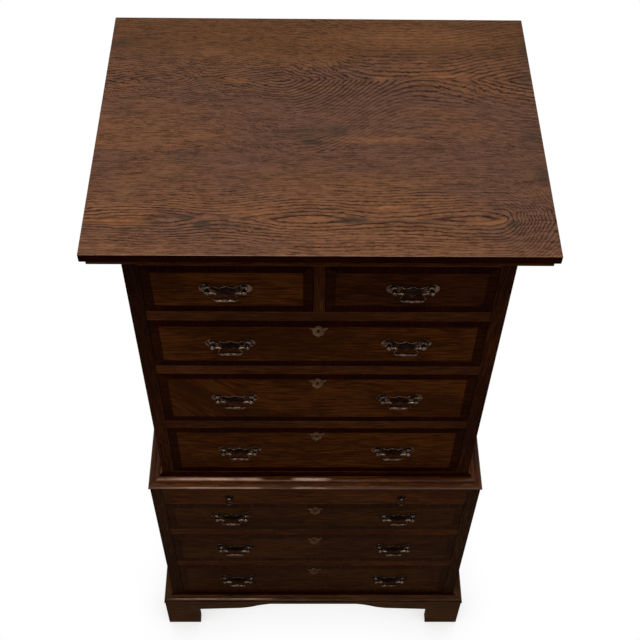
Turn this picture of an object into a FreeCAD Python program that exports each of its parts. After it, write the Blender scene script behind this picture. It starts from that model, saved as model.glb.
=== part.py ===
import FreeCAD, Part

import math
import os

from FreeCAD import Vector

# Chest on chest: two oak carcases, one standing on the other, with eight drawers and a brushing slide.
# Millimetres.  X runs left to right, the drawers open towards -Y, Z is up and the feet stand on Z = 0.
# The origin is under the middle of the top board.

# ---------------------------------------------------------------- driving dimensions
# Plan.
UPPER_WIDTH = 656.0
UPPER_DEPTH = 531.0
TOP_OVERHANG = 53.0           # top board past the upper case, at the front and the sides
LOWER_STEP = 27.0             # lower case past the upper one, at the front and the sides
BASE_STEP = 20.0              # bracket feet past the lower case, at the front and the sides

# Heights, from the floor up.
FOOT_HEIGHT = 128.0
LOWER_OPENINGS = (154.0, 141.0, 122.0)
SLIDE_RAIL = 22.0
SLIDE_OPENING = 22.0
LOWER_TOP_RAIL = 29.0
UPPER_OPENINGS = (176.0, 167.0, 140.0)
SHORT_OPENING = 124.0
UPPER_TOP_RAIL = 72.0
RAIL_HEIGHT = 26.0
TOP_THICK = 17.0

OVERRUN = 1.0                 # of a cutting shape past the face that it cuts

# Carcase stock.
SIDE_BOARD = 18.0
SHELF_BOARD = 18.0
LOWER_PACKING = 2.0           # lowest runner, on the bottom board
UPPER_PACKING = 7.0
STILE_THICK = 20.0
RAIL_DEPTH = 60.0
MUNTIN_WIDTH = 20.0
TENON_LENGTH = 8.0
TENON_THICK = 8.0
TENON_SHOULDER = 0.2          # above and below a tenon, of its rail's height
BACK_THICK = 9.0
BACK_BOARDS = 4
RUNNER_WIDTH = 46.0
RUNNER_THICK = 18.0
GUIDE_WIDTH = 8.5             # guide strip on a runner, as wide as the stile covers past the side board
GUIDE_HEIGHT = 16.0
STOP_LENGTH = 40.0
STOP_DEPTH = 12.0
STOP_CLEARANCE = 3.0          # under the drawer bottom that passes over it
STOP_INSET = 70.0             # drawer stop in from the end of its opening

# Mouldings.  A profile is in shares of its reach out from the case and of its height, from its foot.
CORNICE_HEIGHT = 53.0
CORNICE_SETBACK = 8.5         # cornice fillet behind the edge of the top board
CORNICE_PROFILE = [(0, 1), (1, 1), (1, 0.72), (0.91, 0.72), (0.44, 0.585, 0.27, 0.23), (0.27, 0.15),
                   (0.18, 0.15), (0.15, 0.03, 0.05, 0), (0, 0)]
WAIST_HEIGHT = 21.0
WAIST_LIP = 3.0               # waist moulding past the lower case
WAIST_PROFILE = [(0, 0), (1, 0), (1, 0.1), (0.945, 0.28, 0.82, 0.36), (0.65, 0.36), (0.65, 0.24),
                 (0.52, 0.24), (0.35, 0.5, 0.18, 0.33), (0.12, 0.52), (0.12, 0.76),
                 (0.15, 0.9, 0.08, 1), (0, 1)]
MOULDING_GAP = 0.3            # between the waist moulding and the upper case that lifts out of it
BASE_MOULDING_HEIGHT = 14.0
BASE_LIP = 1.5                # base moulding past the bracket feet
BASE_PROFILE = [(0, 0), (1, 0), (1, 0.21), (0.9, 0.54, 0.67, 0.68), (0.6, 0.68), (0.6, 0.79),
                (0.37, 0.83, 0.14, 1), (0, 1)]

# Bracket base.
BRACKET_THICK = 22.0
FOOT_WIDTH = 82.0
NOTCH_DROP = 43.0             # from the top of the base to the notch beside a foot
RAMP_LENGTH = 108.0
RAMP_DROP = 29.0
CYMA_LENGTH = 42.0
APRON_DEPTH = 10.0            # apron between the feet
BASE_FRAME_THICK = 16.0
BASE_FRAME_WIDTH = 60.0
FOOT_BLOCK = 44.0
REAR_BRACKET_THICK = 18.0
REAR_CURVE_LENGTH = 36.0

# Drawers.
FRONT_THICK = 20.0
DRAWER_SIDE = 10.0
DRAWER_BACK = 10.0
DRAWER_BOTTOM = 6.0
BOTTOM_RISE = 8.0             # drawer bottom above the runners
GROOVE_DEPTH = 4.0
FRONT_GAP = 1.0               # round a drawer front
SIDE_DROP = 4.0               # top of a drawer side below the top of its front
BACK_DROP = 6.0               # top of a drawer back below the top of its sides
BACK_HOUSING = 3.0            # drawer back let into its sides
BACK_INSET = 8.0              # drawer back in from the end of its sides
ROOM_BEHIND = 14.0
LAP = 5.0                     # wood left in front of the dovetails
TAIL_PITCH = 45.0
TAIL_SHARE = 0.62             # of the pitch, at the wide end of a tail
TAIL_SLOPE = 1.0 / 6.0

# Brushing slide.
SLIDE_CLEARANCE = 1.0         # in the height of its opening
SLIDE_ROOM_BEHIND = 69.0
SLIDE_LIPPING = 32.0

# Brass handles.
FLAT_COUNT = 8                # flats on small round brass
BAIL_FLAT_COUNT = 6           # flats on a bail, whose pins turn on their corners
UPPER_HANDLE_X = 159.0
LOWER_HANDLE_X = 186.0
UPPER_HANDLE_RISE = 6.0       # pivots above the middle of the drawer
LOWER_HANDLE_RISE = 10.0
POST_SPACING = 63.5
POST_STANDOFF = 12.0          # pivot in front of the drawer
SHANK_SIZE = 4.4              # square shank of a post
SHANK_CLEARANCE = 0.15
HEAD_R = 4.6
HEAD_TAPER = 0.7              # radius at the ends of a head, of the radius at its middle
HEAD_LENGTH = 6.4
NUT_SIZE = 9.0
NUT_THICK = 3.5
PLATE_THICK = 2.0
PIN_R = 1.55
PIN_CLEARANCE = 0.05
BAIL_R = 2.3
GRIP_R = 2.7
BAIL_DROP = 20.5
BAIL_END_GAP = 0.3            # between a post's head and the shoulder of the bail
# Swan neck between the shoulder and the grip: in from the shoulder, and down in shares of the drop.
SWAN_NECK = [(7.75, 0), (11.25, 0.13), (10.25, 0.34), (6.45, 0.58), (7.65, 0.86)]
GRIP_INSET = 12.75
# Backplate, right of its middle: across in shares of half the post spacing, and up.
PLATE_TOP = [(0, 4.5), (0.14, 3.4), (0.33, 0.2), (0.5, 1.2), (0.645, 4.2)]
PLATE_FOOT = [(0.645, -17.5), (0.46, -15.5), (0.27, -17.0), (0, -25.0)]
LOBE_R = 11.4
LOBE_OFFSET = 2.2             # middle of a lobe outside its post
LOBE_TURNS = (120, 63, 6, -51, -115)

# Escutcheons and locks.
ESCUTCHEON_DROP = 29.0        # keyhole below the top of the drawer front
ESCUTCHEON_THICK = 1.2
LOCK_WIDTH = 58.0
LOCK_HEIGHT = 42.0
LOCK_THICK = 11.0
KEYHOLE_WIDTH = 4.4
KEYHOLE_HEIGHT = 12.0
# Escutcheon, right of its middle, from the top of the winged shield to its point.
SHIELD = [(0, 16.0), (4.5, 15.0), (8.0, 10.5), (12.5, 10.0), (16.5, 11.5), (14.0, 6.0), (10.2, 1.0),
          (9.6, -7.0), (6.5, -12.5), (2.6, -14.0), (0, -19.0)]

# Drop pulls on the slide.
PULL_X = 187.0
PULL_RISE = 1.0               # pivots above the middle of the slide
ROSETTE_R = 9.5
ROSETTE_EDGE_R = 8.2
ROSETTE_THICK = 1.6
PULL_STANDOFF = 5.5           # pivot in front of the slide
FORK_HEIGHT = 4.6
FORK_CHEEK = 1.4
FORK_CLEARANCE = 0.1          # on each side of the drop's head
DROP_LENGTH = 27.5
DROP_WIDTH = 17.5
DROP_THICK = 3.6
DROP_HEAD_R = 2.6
DROP_HEAD_LENGTH = 4.0
DROP_PIN_R = 0.9
# Teardrop loop and its eye, right of the middle: shares of half the width, and of the length from the pivot.
LOOP = [(0, 0), (0.17, 0), (0.17, -0.3), (0.5, -0.42), (0.88, -0.58), (1, -0.73), (0.86, -0.88), (0.5, -0.98),
        (0, -1)]
LOOP_EYE = [(0, -0.5), (0.42, -0.6), (0.58, -0.73), (0.42, -0.83), (0, -0.87)]

# ---------------------------------------------------------------- places worked out from them
BACK_Y = (UPPER_DEPTH + TOP_OVERHANG) / 2
UPPER_Y = BACK_Y - UPPER_DEPTH
LOWER_Y = UPPER_Y - LOWER_STEP
BASE_Y = LOWER_Y - BASE_STEP
INNER_BACK_Y = BACK_Y - BACK_THICK
SLIDE_BACK_Y = INNER_BACK_Y - SLIDE_ROOM_BEHIND
UPPER_HALF = UPPER_WIDTH / 2
LOWER_HALF = UPPER_HALF + LOWER_STEP
BASE_HALF = LOWER_HALF + BASE_STEP
STILE_WIDTH = SIDE_BOARD + GUIDE_WIDTH
UPPER_MOUTH = UPPER_HALF - STILE_WIDTH
LOWER_MOUTH = LOWER_HALF - STILE_WIDTH


def stack(bottom, openings, rail):
    """Bottom and top of each opening in a column of openings with a rail between them."""
    levels = []
    z = bottom
    for height in openings:
        levels.append((z, z + height))
        z += height + rail
    return levels


LOWER_LEVELS = stack(FOOT_HEIGHT + SHELF_BOARD + LOWER_PACKING, LOWER_OPENINGS, RAIL_HEIGHT)
SLIDE_Z = LOWER_LEVELS[-1][1] + SLIDE_RAIL
SLIDE_THICK = SLIDE_OPENING - SLIDE_CLEARANCE
PULL_Z = SLIDE_Z + SLIDE_THICK / 2 + PULL_RISE
LOWER_TOP_Z = SLIDE_Z + SLIDE_OPENING + LOWER_TOP_RAIL
UPPER_LEVELS = stack(LOWER_TOP_Z + SHELF_BOARD + UPPER_PACKING, (*UPPER_OPENINGS, SHORT_OPENING), RAIL_HEIGHT)
UPPER_TOP_Z = UPPER_LEVELS[-1][1] + UPPER_TOP_RAIL
STOP_HEIGHT = BOTTOM_RISE - STOP_CLEARANCE


# ---------------------------------------------------------------- shapes
def block(x, y, z):
    """A box from three (low, high) pairs."""
    return Part.makeBox(x[1] - x[0], y[1] - y[0], z[1] - z[0], Vector(x[0], y[0], z[0]))


def outline(steps, place):
    """A closed face.  Each step is an end point, or a point on an arc and its end point."""
    here = first = place(*steps[0])
    edges = []
    for step in steps[1:]:
        there = place(*step[-2:])
        if len(step) == 4:
            edges.append(Part.Arc(here, place(*step[:2]), there).toShape())
        else:
            edges.append(Part.makeLine(here, there))
        here = there
    if here.distanceToPoint(first) > 1e-6:
        edges.append(Part.makeLine(here, first))
    return Part.Face(Part.Wire(edges))


def plate(steps, y):
    """An outline in X and Z between two values of Y."""
    return outline(steps, lambda x, z: Vector(x, y[0], z)).extrude(Vector(0, y[1] - y[0], 0))


def slab(steps, x):
    """An outline in Y and Z between two values of X."""
    return outline(steps, lambda y, z: Vector(x[0], y, z)).extrude(Vector(x[1] - x[0], 0, 0))


def footprint(points, z):
    """A polygon in X and Y between two values of Z."""
    return outline(points, lambda x, y: Vector(x, y, z[0])).extrude(Vector(0, 0, z[1] - z[0]))


def mirrored(shape):
    """The shape on the other side of the middle plane."""
    return shape.mirror(Vector(0, 0, 0), Vector(1, 0, 0))


def both_sides(shapes):
    """Shapes made for the right side, and their mirror images."""
    return shapes + [mirrored(shape) for shape in shapes]


def moved(steps, dx, dz):
    """An outline's steps, shifted."""
    shift = (dx, dz) * 2
    return [tuple(value + offset for value, offset in zip(step, shift)) for step in steps]


def stretched(steps, across, up):
    """An outline's steps, from shares to sizes."""
    sizes = (across, up) * 2
    return [tuple(value * size for value, size in zip(step, sizes)) for step in steps]


def with_left_half(right):
    """A symmetric outline from the points of its right half, first and last on the middle line."""
    return right + [(-x, z) for x, z in reversed(right[1:-1])]


def ring(centre, normal, across, radius, flats=FLAT_COUNT, stretch=1.0):
    """Corners of a regular polygon round a centre, stretched square to the across direction."""
    normal = Vector(normal).normalize()
    across = Vector(across).normalize()
    up = normal.cross(across) * stretch
    points = []
    for i in range(flats):
        turn = 2 * math.pi * (i + 0.5) / flats
        points.append(centre + across * (radius * math.cos(turn)) + up * (radius * math.sin(turn)))
    return points


def wall(corners):
    """A face on four corners, or two if they don't lie in one plane."""
    a, b, c, d = corners
    normal = (b - a).cross(c - a)
    if abs(normal.dot(d - a)) <= 1e-7 * normal.Length * (d - a).Length:
        return [Part.Face(Part.makePolygon([a, b, c, d, a]))]
    return [Part.Face(Part.makePolygon([a, b, c, a])), Part.Face(Part.makePolygon([a, c, d, a]))]


def flat_sided(rings):
    """A solid with flat walls between rings of corners, closed at both ends."""
    faces = [Part.Face(Part.makePolygon(end + end[:1])) for end in (rings[0], rings[-1])]
    for here, there in zip(rings, rings[1:]):
        for i in range(len(here)):
            faces += wall([here[i - 1], here[i], there[i], there[i - 1]])
    solid = Part.makeSolid(Part.makeShell(faces))
    if solid.Volume < 0:
        solid.reverse()
    return solid.removeSplitter()


def turned(axis, start, sections, across=Vector(0, 0, 1)):
    """A small turned piece: (distance along the axis, radius) sections, joined by straight walls."""
    axis = Vector(axis).normalize()
    return flat_sided([ring(start + axis * along, axis, across, radius) for along, radius in sections])


def cast_bar(points, radii, across, flats):
    """A bar along a flat path, mitred at each point, as thick at each as its radius says."""
    runs = [there - here for here, there in zip(points, points[1:])]
    rings = []
    for i, point in enumerate(points):
        before = Vector(runs[max(i - 1, 0)]).normalize()
        after = Vector(runs[min(i, len(runs) - 1)]).normalize()
        stretch = 1 / math.cos(before.getAngle(after) / 2)
        rings.append(ring(point, before + after, across, radii[i], flats, stretch))
    return flat_sided(rings)


def mitred_surround(profile, half, front_y, out, z):
    """A moulding round the front and both sides of a case: three lengths, mitred at the front corners."""
    steps = stretched(profile, out, z[1] - z[0])
    reach = out + OVERRUN
    z_span = (z[0] - OVERRUN, z[1] + OVERRUN)
    across = outline(steps, lambda over, up: Vector(-half - reach, front_y - over, z[0] + up))
    along = outline(steps, lambda over, up: Vector(half + over, front_y - reach, z[0] + up))
    front_plan = footprint([(-half, front_y), (half, front_y), (half + reach, front_y - reach),
                            (-half - reach, front_y - reach)], z_span)
    side_plan = footprint([(half, front_y), (half + reach, front_y - reach), (half + reach, BACK_Y),
                           (half, BACK_Y)], z_span)
    front = across.extrude(Vector(2 * (half + reach), 0, 0)).common(front_plan)
    side = along.extrude(Vector(0, BACK_Y - front_y + reach, 0)).common(side_plan)
    return front.Solids + both_sides(side.Solids)


# ---------------------------------------------------------------- mouldings and top
def top_board():
    """The wide top, flush with the back and past the case on the other three sides."""
    half = UPPER_HALF + TOP_OVERHANG
    return [block((-half, half), (UPPER_Y - TOP_OVERHANG, BACK_Y), (UPPER_TOP_Z, UPPER_TOP_Z + TOP_THICK))]


def cornice_moulding():
    """Fillet, cove and bead under the top board."""
    return mitred_surround(CORNICE_PROFILE, UPPER_HALF, UPPER_Y, TOP_OVERHANG - CORNICE_SETBACK,
                           (UPPER_TOP_Z - CORNICE_HEIGHT, UPPER_TOP_Z))


def waist_moulding():
    """Small bead against the upper case, a round, a quirk and a thumb moulding out to the lip."""
    return mitred_surround(WAIST_PROFILE, UPPER_HALF + MOULDING_GAP, UPPER_Y - MOULDING_GAP,
                           LOWER_STEP + WAIST_LIP - MOULDING_GAP, (LOWER_TOP_Z, LOWER_TOP_Z + WAIST_HEIGHT))


def base_moulding():
    """Round and cove between the lower case and the bracket feet."""
    return mitred_surround(BASE_PROFILE, LOWER_HALF, LOWER_Y, BASE_STEP + BASE_LIP,
                           (FOOT_HEIGHT, FOOT_HEIGHT + BASE_MOULDING_HEIGHT))


# ---------------------------------------------------------------- bracket base
def bracket_steps(length):
    """A bracket board's outline: a foot at each end and a shaped apron between them."""
    notch, ramp_end, apron = (FOOT_HEIGHT - drop for drop in (NOTCH_DROP, RAMP_DROP, APRON_DEPTH))
    ramp_x = FOOT_WIDTH + RAMP_LENGTH
    cyma = stretched([(0.29, 0.15, 0.5, 0.5), (0.71, 0.85, 1, 1)], CYMA_LENGTH, apron - ramp_end)
    hollow, swell = moved(cyma, ramp_x, ramp_end)
    left = [(0, 0), (FOOT_WIDTH, 0), (FOOT_WIDTH, notch), (ramp_x, ramp_end), hollow, swell]
    right = [(length - swell[2], apron), (length - swell[0], swell[1], length - hollow[2], hollow[3]),
             (length - hollow[0], hollow[1], length - ramp_x, ramp_end), (length - FOOT_WIDTH, notch),
             (length - FOOT_WIDTH, 0), (length, 0)]
    return left + right + [(length, FOOT_HEIGHT), (0, FOOT_HEIGHT)]


def rear_bracket(x):
    """The plain bracket behind a rear foot, from its outer edge in, with a hollow curve up to the frame."""
    foot_x = x - (FOOT_WIDTH - BRACKET_THICK)
    inner_x = foot_x - REAR_CURVE_LENGTH
    apron = FOOT_HEIGHT - APRON_DEPTH
    steps = [(x, 0), (x, FOOT_HEIGHT), (inner_x, FOOT_HEIGHT), (inner_x, apron),
             (foot_x - REAR_CURVE_LENGTH * 0.3, apron * 0.74, foot_x, apron * 0.36), (foot_x, 0)]
    return plate(steps, (BACK_Y - REAR_BRACKET_THICK, BACK_Y))


def bracket_feet():
    """Front and side bracket boards mitred at the front corners, and a plain bracket at each rear foot."""
    z_span = (-OVERRUN, FOOT_HEIGHT + OVERRUN)
    inner = BRACKET_THICK + OVERRUN
    front = plate(moved(bracket_steps(2 * BASE_HALF), -BASE_HALF, 0), (BASE_Y, BASE_Y + BRACKET_THICK))
    front_plan = footprint([(-BASE_HALF, BASE_Y), (BASE_HALF, BASE_Y), (BASE_HALF - inner, BASE_Y + inner),
                            (inner - BASE_HALF, BASE_Y + inner)], z_span)
    side = slab(moved(bracket_steps(BACK_Y - BASE_Y), BASE_Y, 0), (BASE_HALF - BRACKET_THICK, BASE_HALF))
    side_plan = footprint([(BASE_HALF, BASE_Y), (BASE_HALF, BACK_Y), (BASE_HALF - inner, BACK_Y),
                           (BASE_HALF - inner, BASE_Y + inner)], z_span)
    rear = rear_bracket(BASE_HALF - BRACKET_THICK)
    return front.common(front_plan).Solids + both_sides(side.common(side_plan).Solids + [rear])


def base_frame():
    """The flat frame that the lower case stands on, and a glue block inside each foot."""
    z = (FOOT_HEIGHT - BASE_FRAME_THICK, FOOT_HEIGHT)
    half = BASE_HALF - BRACKET_THICK
    front_y = BASE_Y + BRACKET_THICK
    back_y = BACK_Y - REAR_BRACKET_THICK
    across = [block((-half, half), (front_y, front_y + BASE_FRAME_WIDTH), z),
              block((-half, half), (back_y - BASE_FRAME_WIDTH, back_y), z)]
    side = block((half - BASE_FRAME_WIDTH, half), (front_y + BASE_FRAME_WIDTH, back_y - BASE_FRAME_WIDTH), z)
    blocks = [block((half - FOOT_BLOCK, half), y, (0, z[0]))
              for y in ((front_y, front_y + FOOT_BLOCK), (back_y - FOOT_BLOCK, back_y))]
    return across + both_sides([side] + blocks)


# ---------------------------------------------------------------- carcases
def side_board(half, front_y, z):
    """The right side of a case, behind its stile."""
    return [block((half - SIDE_BOARD, half), (front_y + STILE_THICK, BACK_Y), z)]


def back_boards(half, z):
    """Upright boards between the sides, flush with the back."""
    inner = half - SIDE_BOARD
    width = 2 * inner / BACK_BOARDS
    return [block((-inner + i * width, -inner + (i + 1) * width), (INNER_BACK_Y, BACK_Y), z)
            for i in range(BACK_BOARDS)]


def shelf(half, front_y, z):
    """A board across a case, between its sides and behind its rail."""
    inner = half - SIDE_BOARD
    return block((-inner, inner), (front_y + RAIL_DEPTH, INNER_BACK_Y), z)


def front_frame(half, front_y, z, rails):
    """Two stiles with the rails tenoned between them."""
    mouth = half - STILE_WIDTH
    tenon_y = (front_y + (STILE_THICK - TENON_THICK) / 2, front_y + (STILE_THICK + TENON_THICK) / 2)
    stile = block((mouth, half), (front_y, front_y + STILE_THICK), z)
    pieces = []
    for low, high in rails:
        shoulder = (high - low) * TENON_SHOULDER
        rail = block((-mouth, mouth), (front_y, front_y + RAIL_DEPTH), (low, high))
        tenon = block((mouth, mouth + TENON_LENGTH), tenon_y, (low + shoulder, high - shoulder))
        stile = stile.cut(tenon)
        pieces.append(rail.fuse([tenon, mirrored(tenon)]).removeSplitter())
    return both_sides([stile]) + pieces


def runner(half, front_y, z):
    """A strip along the right side of a case: a drawer's runner, or the kicker over it."""
    inner = half - SIDE_BOARD
    return block((inner - RUNNER_WIDTH, inner), (front_y + RAIL_DEPTH, INNER_BACK_Y), z)


def guide(half, front_y, z):
    """The strip on a right runner that keeps what slides there straight."""
    return block((half - STILE_WIDTH, half - SIDE_BOARD), (front_y + RAIL_DEPTH, INNER_BACK_Y), z)


def stop(x, front_y, top):
    """A small block on the rail that a drawer front closes against."""
    y = front_y + FRONT_THICK
    return block((x - STOP_LENGTH / 2, x + STOP_LENGTH / 2), (y, y + STOP_DEPTH), (top, top + STOP_HEIGHT))


def upper_front_frame():
    """Stiles, rails and the muntin between the short drawers."""
    low, high = UPPER_LEVELS[-1]
    rails = [(LOWER_TOP_Z, UPPER_LEVELS[0][0])]
    rails += [(below[1], above[0]) for below, above in zip(UPPER_LEVELS, UPPER_LEVELS[1:])]
    rails.append((high, UPPER_TOP_Z))
    muntin = block((-MUNTIN_WIDTH / 2, MUNTIN_WIDTH / 2), (UPPER_Y, UPPER_Y + RAIL_DEPTH), (low, high))
    return front_frame(UPPER_HALF, UPPER_Y, (LOWER_TOP_Z, UPPER_TOP_Z), rails) + [muntin]


def lower_front_frame():
    """Stiles and rails, with the slide's rail under the top one."""
    rails = [(FOOT_HEIGHT, LOWER_LEVELS[0][0])]
    rails += [(below[1], above[0]) for below, above in zip(LOWER_LEVELS, LOWER_LEVELS[1:])]
    rails.append((LOWER_LEVELS[-1][1], SLIDE_Z))
    rails.append((SLIDE_Z + SLIDE_OPENING, LOWER_TOP_Z))
    return front_frame(LOWER_HALF, LOWER_Y, (FOOT_HEIGHT, LOWER_TOP_Z), rails)


def drawer_runners(half, front_y, levels, packing):
    """Right runner, guide and stop of each opening.  The lowest runner packs up the bottom board."""
    pieces = []
    for low, _ in levels:
        thick = packing if low == levels[0][0] else RUNNER_THICK
        pieces += [runner(half, front_y, (low - thick, low)), guide(half, front_y, (low, low + GUIDE_HEIGHT)),
                   stop(half - STILE_WIDTH - STOP_INSET, front_y, low)]
    return pieces


def upper_runners():
    """Runners, guides, kickers and stops of the upper case."""
    low, high = UPPER_LEVELS[-1]
    kicker_z = (high, high + RUNNER_THICK)
    right = drawer_runners(UPPER_HALF, UPPER_Y, UPPER_LEVELS, UPPER_PACKING)
    right += [runner(UPPER_HALF, UPPER_Y, kicker_z), stop(MUNTIN_WIDTH / 2 + STOP_INSET, UPPER_Y, low)]
    y = (UPPER_Y + RAIL_DEPTH, INNER_BACK_Y)
    middle = [block((-RUNNER_WIDTH, RUNNER_WIDTH), y, (low - RUNNER_THICK, low)),
              block((-MUNTIN_WIDTH / 2, MUNTIN_WIDTH / 2), y, (low, low + GUIDE_HEIGHT)),
              block((-RUNNER_WIDTH, RUNNER_WIDTH), y, kicker_z)]
    return both_sides(right) + middle


def lower_runners():
    """Runners, guides, kickers and stops of the lower case, and the slide's own."""
    slide_top = SLIDE_Z + SLIDE_OPENING
    stop_x = (LOWER_HALF - SIDE_BOARD - RUNNER_WIDTH, LOWER_MOUTH)
    right = drawer_runners(LOWER_HALF, LOWER_Y, LOWER_LEVELS, LOWER_PACKING)
    right += [runner(LOWER_HALF, LOWER_Y, (SLIDE_Z - RUNNER_THICK, SLIDE_Z)),
              guide(LOWER_HALF, LOWER_Y, (SLIDE_Z, slide_top)),
              runner(LOWER_HALF, LOWER_Y, (slide_top, LOWER_TOP_Z - SHELF_BOARD)),
              block(stop_x, (SLIDE_BACK_Y, SLIDE_BACK_Y + STOP_DEPTH), (SLIDE_Z, SLIDE_Z + STOP_HEIGHT))]
    return both_sides(right)


# ---------------------------------------------------------------- handles
def backplate(x, z, front_y):
    """A bat-wing backplate: two lobes round the posts, cusps between them, and a hole for each post."""
    half = POST_SPACING / 2
    turns = [math.radians(degrees) for degrees in LOBE_TURNS]
    lobe = [(half + LOBE_OFFSET + LOBE_R * math.cos(turn), LOBE_R * math.sin(turn)) for turn in turns]
    right = stretched(PLATE_TOP, half, 1) + lobe + stretched(PLATE_FOOT, half, 1)
    shape = plate(moved(with_left_half(right), x, z), (front_y - PLATE_THICK, front_y))
    return shape.cut([post_hole(x + offset, z, front_y) for offset in (-half, half)])


def post(x, z, front_y):
    """A post: bored head, square shank through the backplate and the drawer front, and the nut on it."""
    head_y = front_y - POST_STANDOFF
    inside_y = front_y + FRONT_THICK
    half_shank, half_nut, half_head = SHANK_SIZE / 2, NUT_SIZE / 2, HEAD_LENGTH / 2
    shank = block((x - half_shank, x + half_shank), (head_y + HEAD_R / 2, inside_y),
                  (z - half_shank, z + half_shank))
    nut = block((x - half_nut, x + half_nut), (inside_y, inside_y + NUT_THICK), (z - half_nut, z + half_nut))
    head = turned(Vector(1, 0, 0), Vector(x - half_head, head_y, z),
                  [(0, HEAD_R * HEAD_TAPER), (half_head, HEAD_R), (2 * half_head, HEAD_R * HEAD_TAPER)])
    return shank.fuse([head, nut]).cut(bore(Vector(x, head_y, z), HEAD_LENGTH, PIN_R))


def bore(middle, length, pin_r):
    """A hole along X for a pin, whose flats clear the pin's corners all round."""
    radius = (pin_r + PIN_CLEARANCE) / math.cos(math.pi / BAIL_FLAT_COUNT)
    half = Vector(length / 2 + OVERRUN, 0, 0)
    return flat_sided([ring(end, half, Vector(0, 0, 1), radius, BAIL_FLAT_COUNT)
                       for end in (middle - half, middle + half)])


def post_hole(x, z, front_y):
    """The hole that a shank needs through the backplate and the drawer front."""
    half = SHANK_SIZE / 2 + SHANK_CLEARANCE
    y = (front_y - PLATE_THICK - OVERRUN, front_y + FRONT_THICK + OVERRUN)
    return block((x - half, x + half), y, (z - half, z + half))


def bail(x, z, front_y):
    """A swan-neck bail, hanging: pins in the two posts, a curl in and down, and a straight grip."""
    pin_end = (POST_SPACING + HEAD_LENGTH) / 2
    shoulder = (POST_SPACING - HEAD_LENGTH) / 2 - BAIL_END_GAP
    right = [(pin_end, 0, PIN_R), (shoulder, 0, PIN_R)]
    right += [(shoulder - inset, share * BAIL_DROP, BAIL_R) for inset, share in SWAN_NECK]
    right.append((shoulder - GRIP_INSET, BAIL_DROP, GRIP_R))
    places = right + [(-across, down, radius) for across, down, radius in reversed(right)]
    points = [Vector(x + across, front_y - POST_STANDOFF, z - down) for across, down, _ in places]
    return [cast_bar(points, [radius for _, _, radius in places], Vector(0, 1, 0), BAIL_FLAT_COUNT)]


def escutcheon(x, z, front_y):
    """A winged shield round the keyhole."""
    shield = plate(moved(with_left_half(SHIELD), x, z), (front_y - ESCUTCHEON_THICK, front_y))
    return shield.cut(keyhole(x, z, (front_y - ESCUTCHEON_THICK - OVERRUN, front_y + OVERRUN)))


def keyhole(x, z, y):
    """A keyhole: round at the top, with a slot under it."""
    radius = KEYHOLE_WIDTH / 2
    eye_z = z + KEYHOLE_HEIGHT / 2 - radius
    eye = turned(Vector(0, 1, 0), Vector(x, y[0], eye_z), [(0, radius), (y[1] - y[0], radius)])
    slot = block((x - radius / 2, x + radius / 2), y, (z - KEYHOLE_HEIGHT / 2, eye_z))
    return eye.fuse(slot)


def lock_place(drawer):
    """Where a drawer's lock case lies, let into the back of its front."""
    z_top = drawer["z"][1] - FRONT_GAP
    x = (drawer["x"][0] + drawer["x"][1]) / 2
    y = drawer["y"] + FRONT_THICK
    return block((x - LOCK_WIDTH / 2, x + LOCK_WIDTH / 2), (y - LOCK_THICK, y), (z_top - LOCK_HEIGHT, z_top))


# ---------------------------------------------------------------- drawers
def tails(z, front_y):
    """Outlines in Y and Z of the dovetails at the front of a drawer side."""
    low = z[0] + BOTTOM_RISE + DRAWER_BOTTOM
    high = z[1]
    count = max(2, round((high - low) / TAIL_PITCH))
    pitch = (high - low) / count
    wide = pitch * TAIL_SHARE / 2
    narrow = wide - (FRONT_THICK - LAP) * TAIL_SLOPE
    tip, root = front_y + LAP, front_y + FRONT_THICK
    middles = [low + pitch * (i + 0.5) for i in range(count)]
    return [[(root, middle - narrow), (tip, middle - wide), (tip, middle + wide), (root, middle + narrow)]
            for middle in middles]


def drawer_place(name, x, z, front_y, handle_rise, handles):
    """A drawer: its opening, the Y of its front, the X and Z of its handles, and a lock if it has two."""
    return {"name": name, "x": x, "z": z, "y": front_y, "handles": handles, "lock": len(handles) == 2,
            "pivot_z": (z[0] + z[1]) / 2 + handle_rise}


def drawer_list():
    """Every drawer of the chest."""
    half = MUNTIN_WIDTH / 2
    drawers = []
    for name, z in zip(("bottom", "third", "second"), UPPER_LEVELS):
        drawers.append(drawer_place("upper_" + name + "_drawer", (-UPPER_MOUTH, UPPER_MOUTH), z, UPPER_Y,
                                    UPPER_HANDLE_RISE, {"left": -UPPER_HANDLE_X, "right": UPPER_HANDLE_X}))
    for side, x, handle_x in (("left", (-UPPER_MOUTH, -half), -UPPER_HANDLE_X),
                              ("right", (half, UPPER_MOUTH), UPPER_HANDLE_X)):
        drawers.append(drawer_place("top_" + side + "_drawer", x, UPPER_LEVELS[-1], UPPER_Y,
                                    UPPER_HANDLE_RISE, {"": handle_x}))
    for name, z in zip(("bottom", "middle", "top"), LOWER_LEVELS):
        drawers.append(drawer_place("lower_" + name + "_drawer", (-LOWER_MOUTH, LOWER_MOUTH), z, LOWER_Y,
                                    LOWER_HANDLE_RISE, {"left": -LOWER_HANDLE_X, "right": LOWER_HANDLE_X}))
    return drawers


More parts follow.
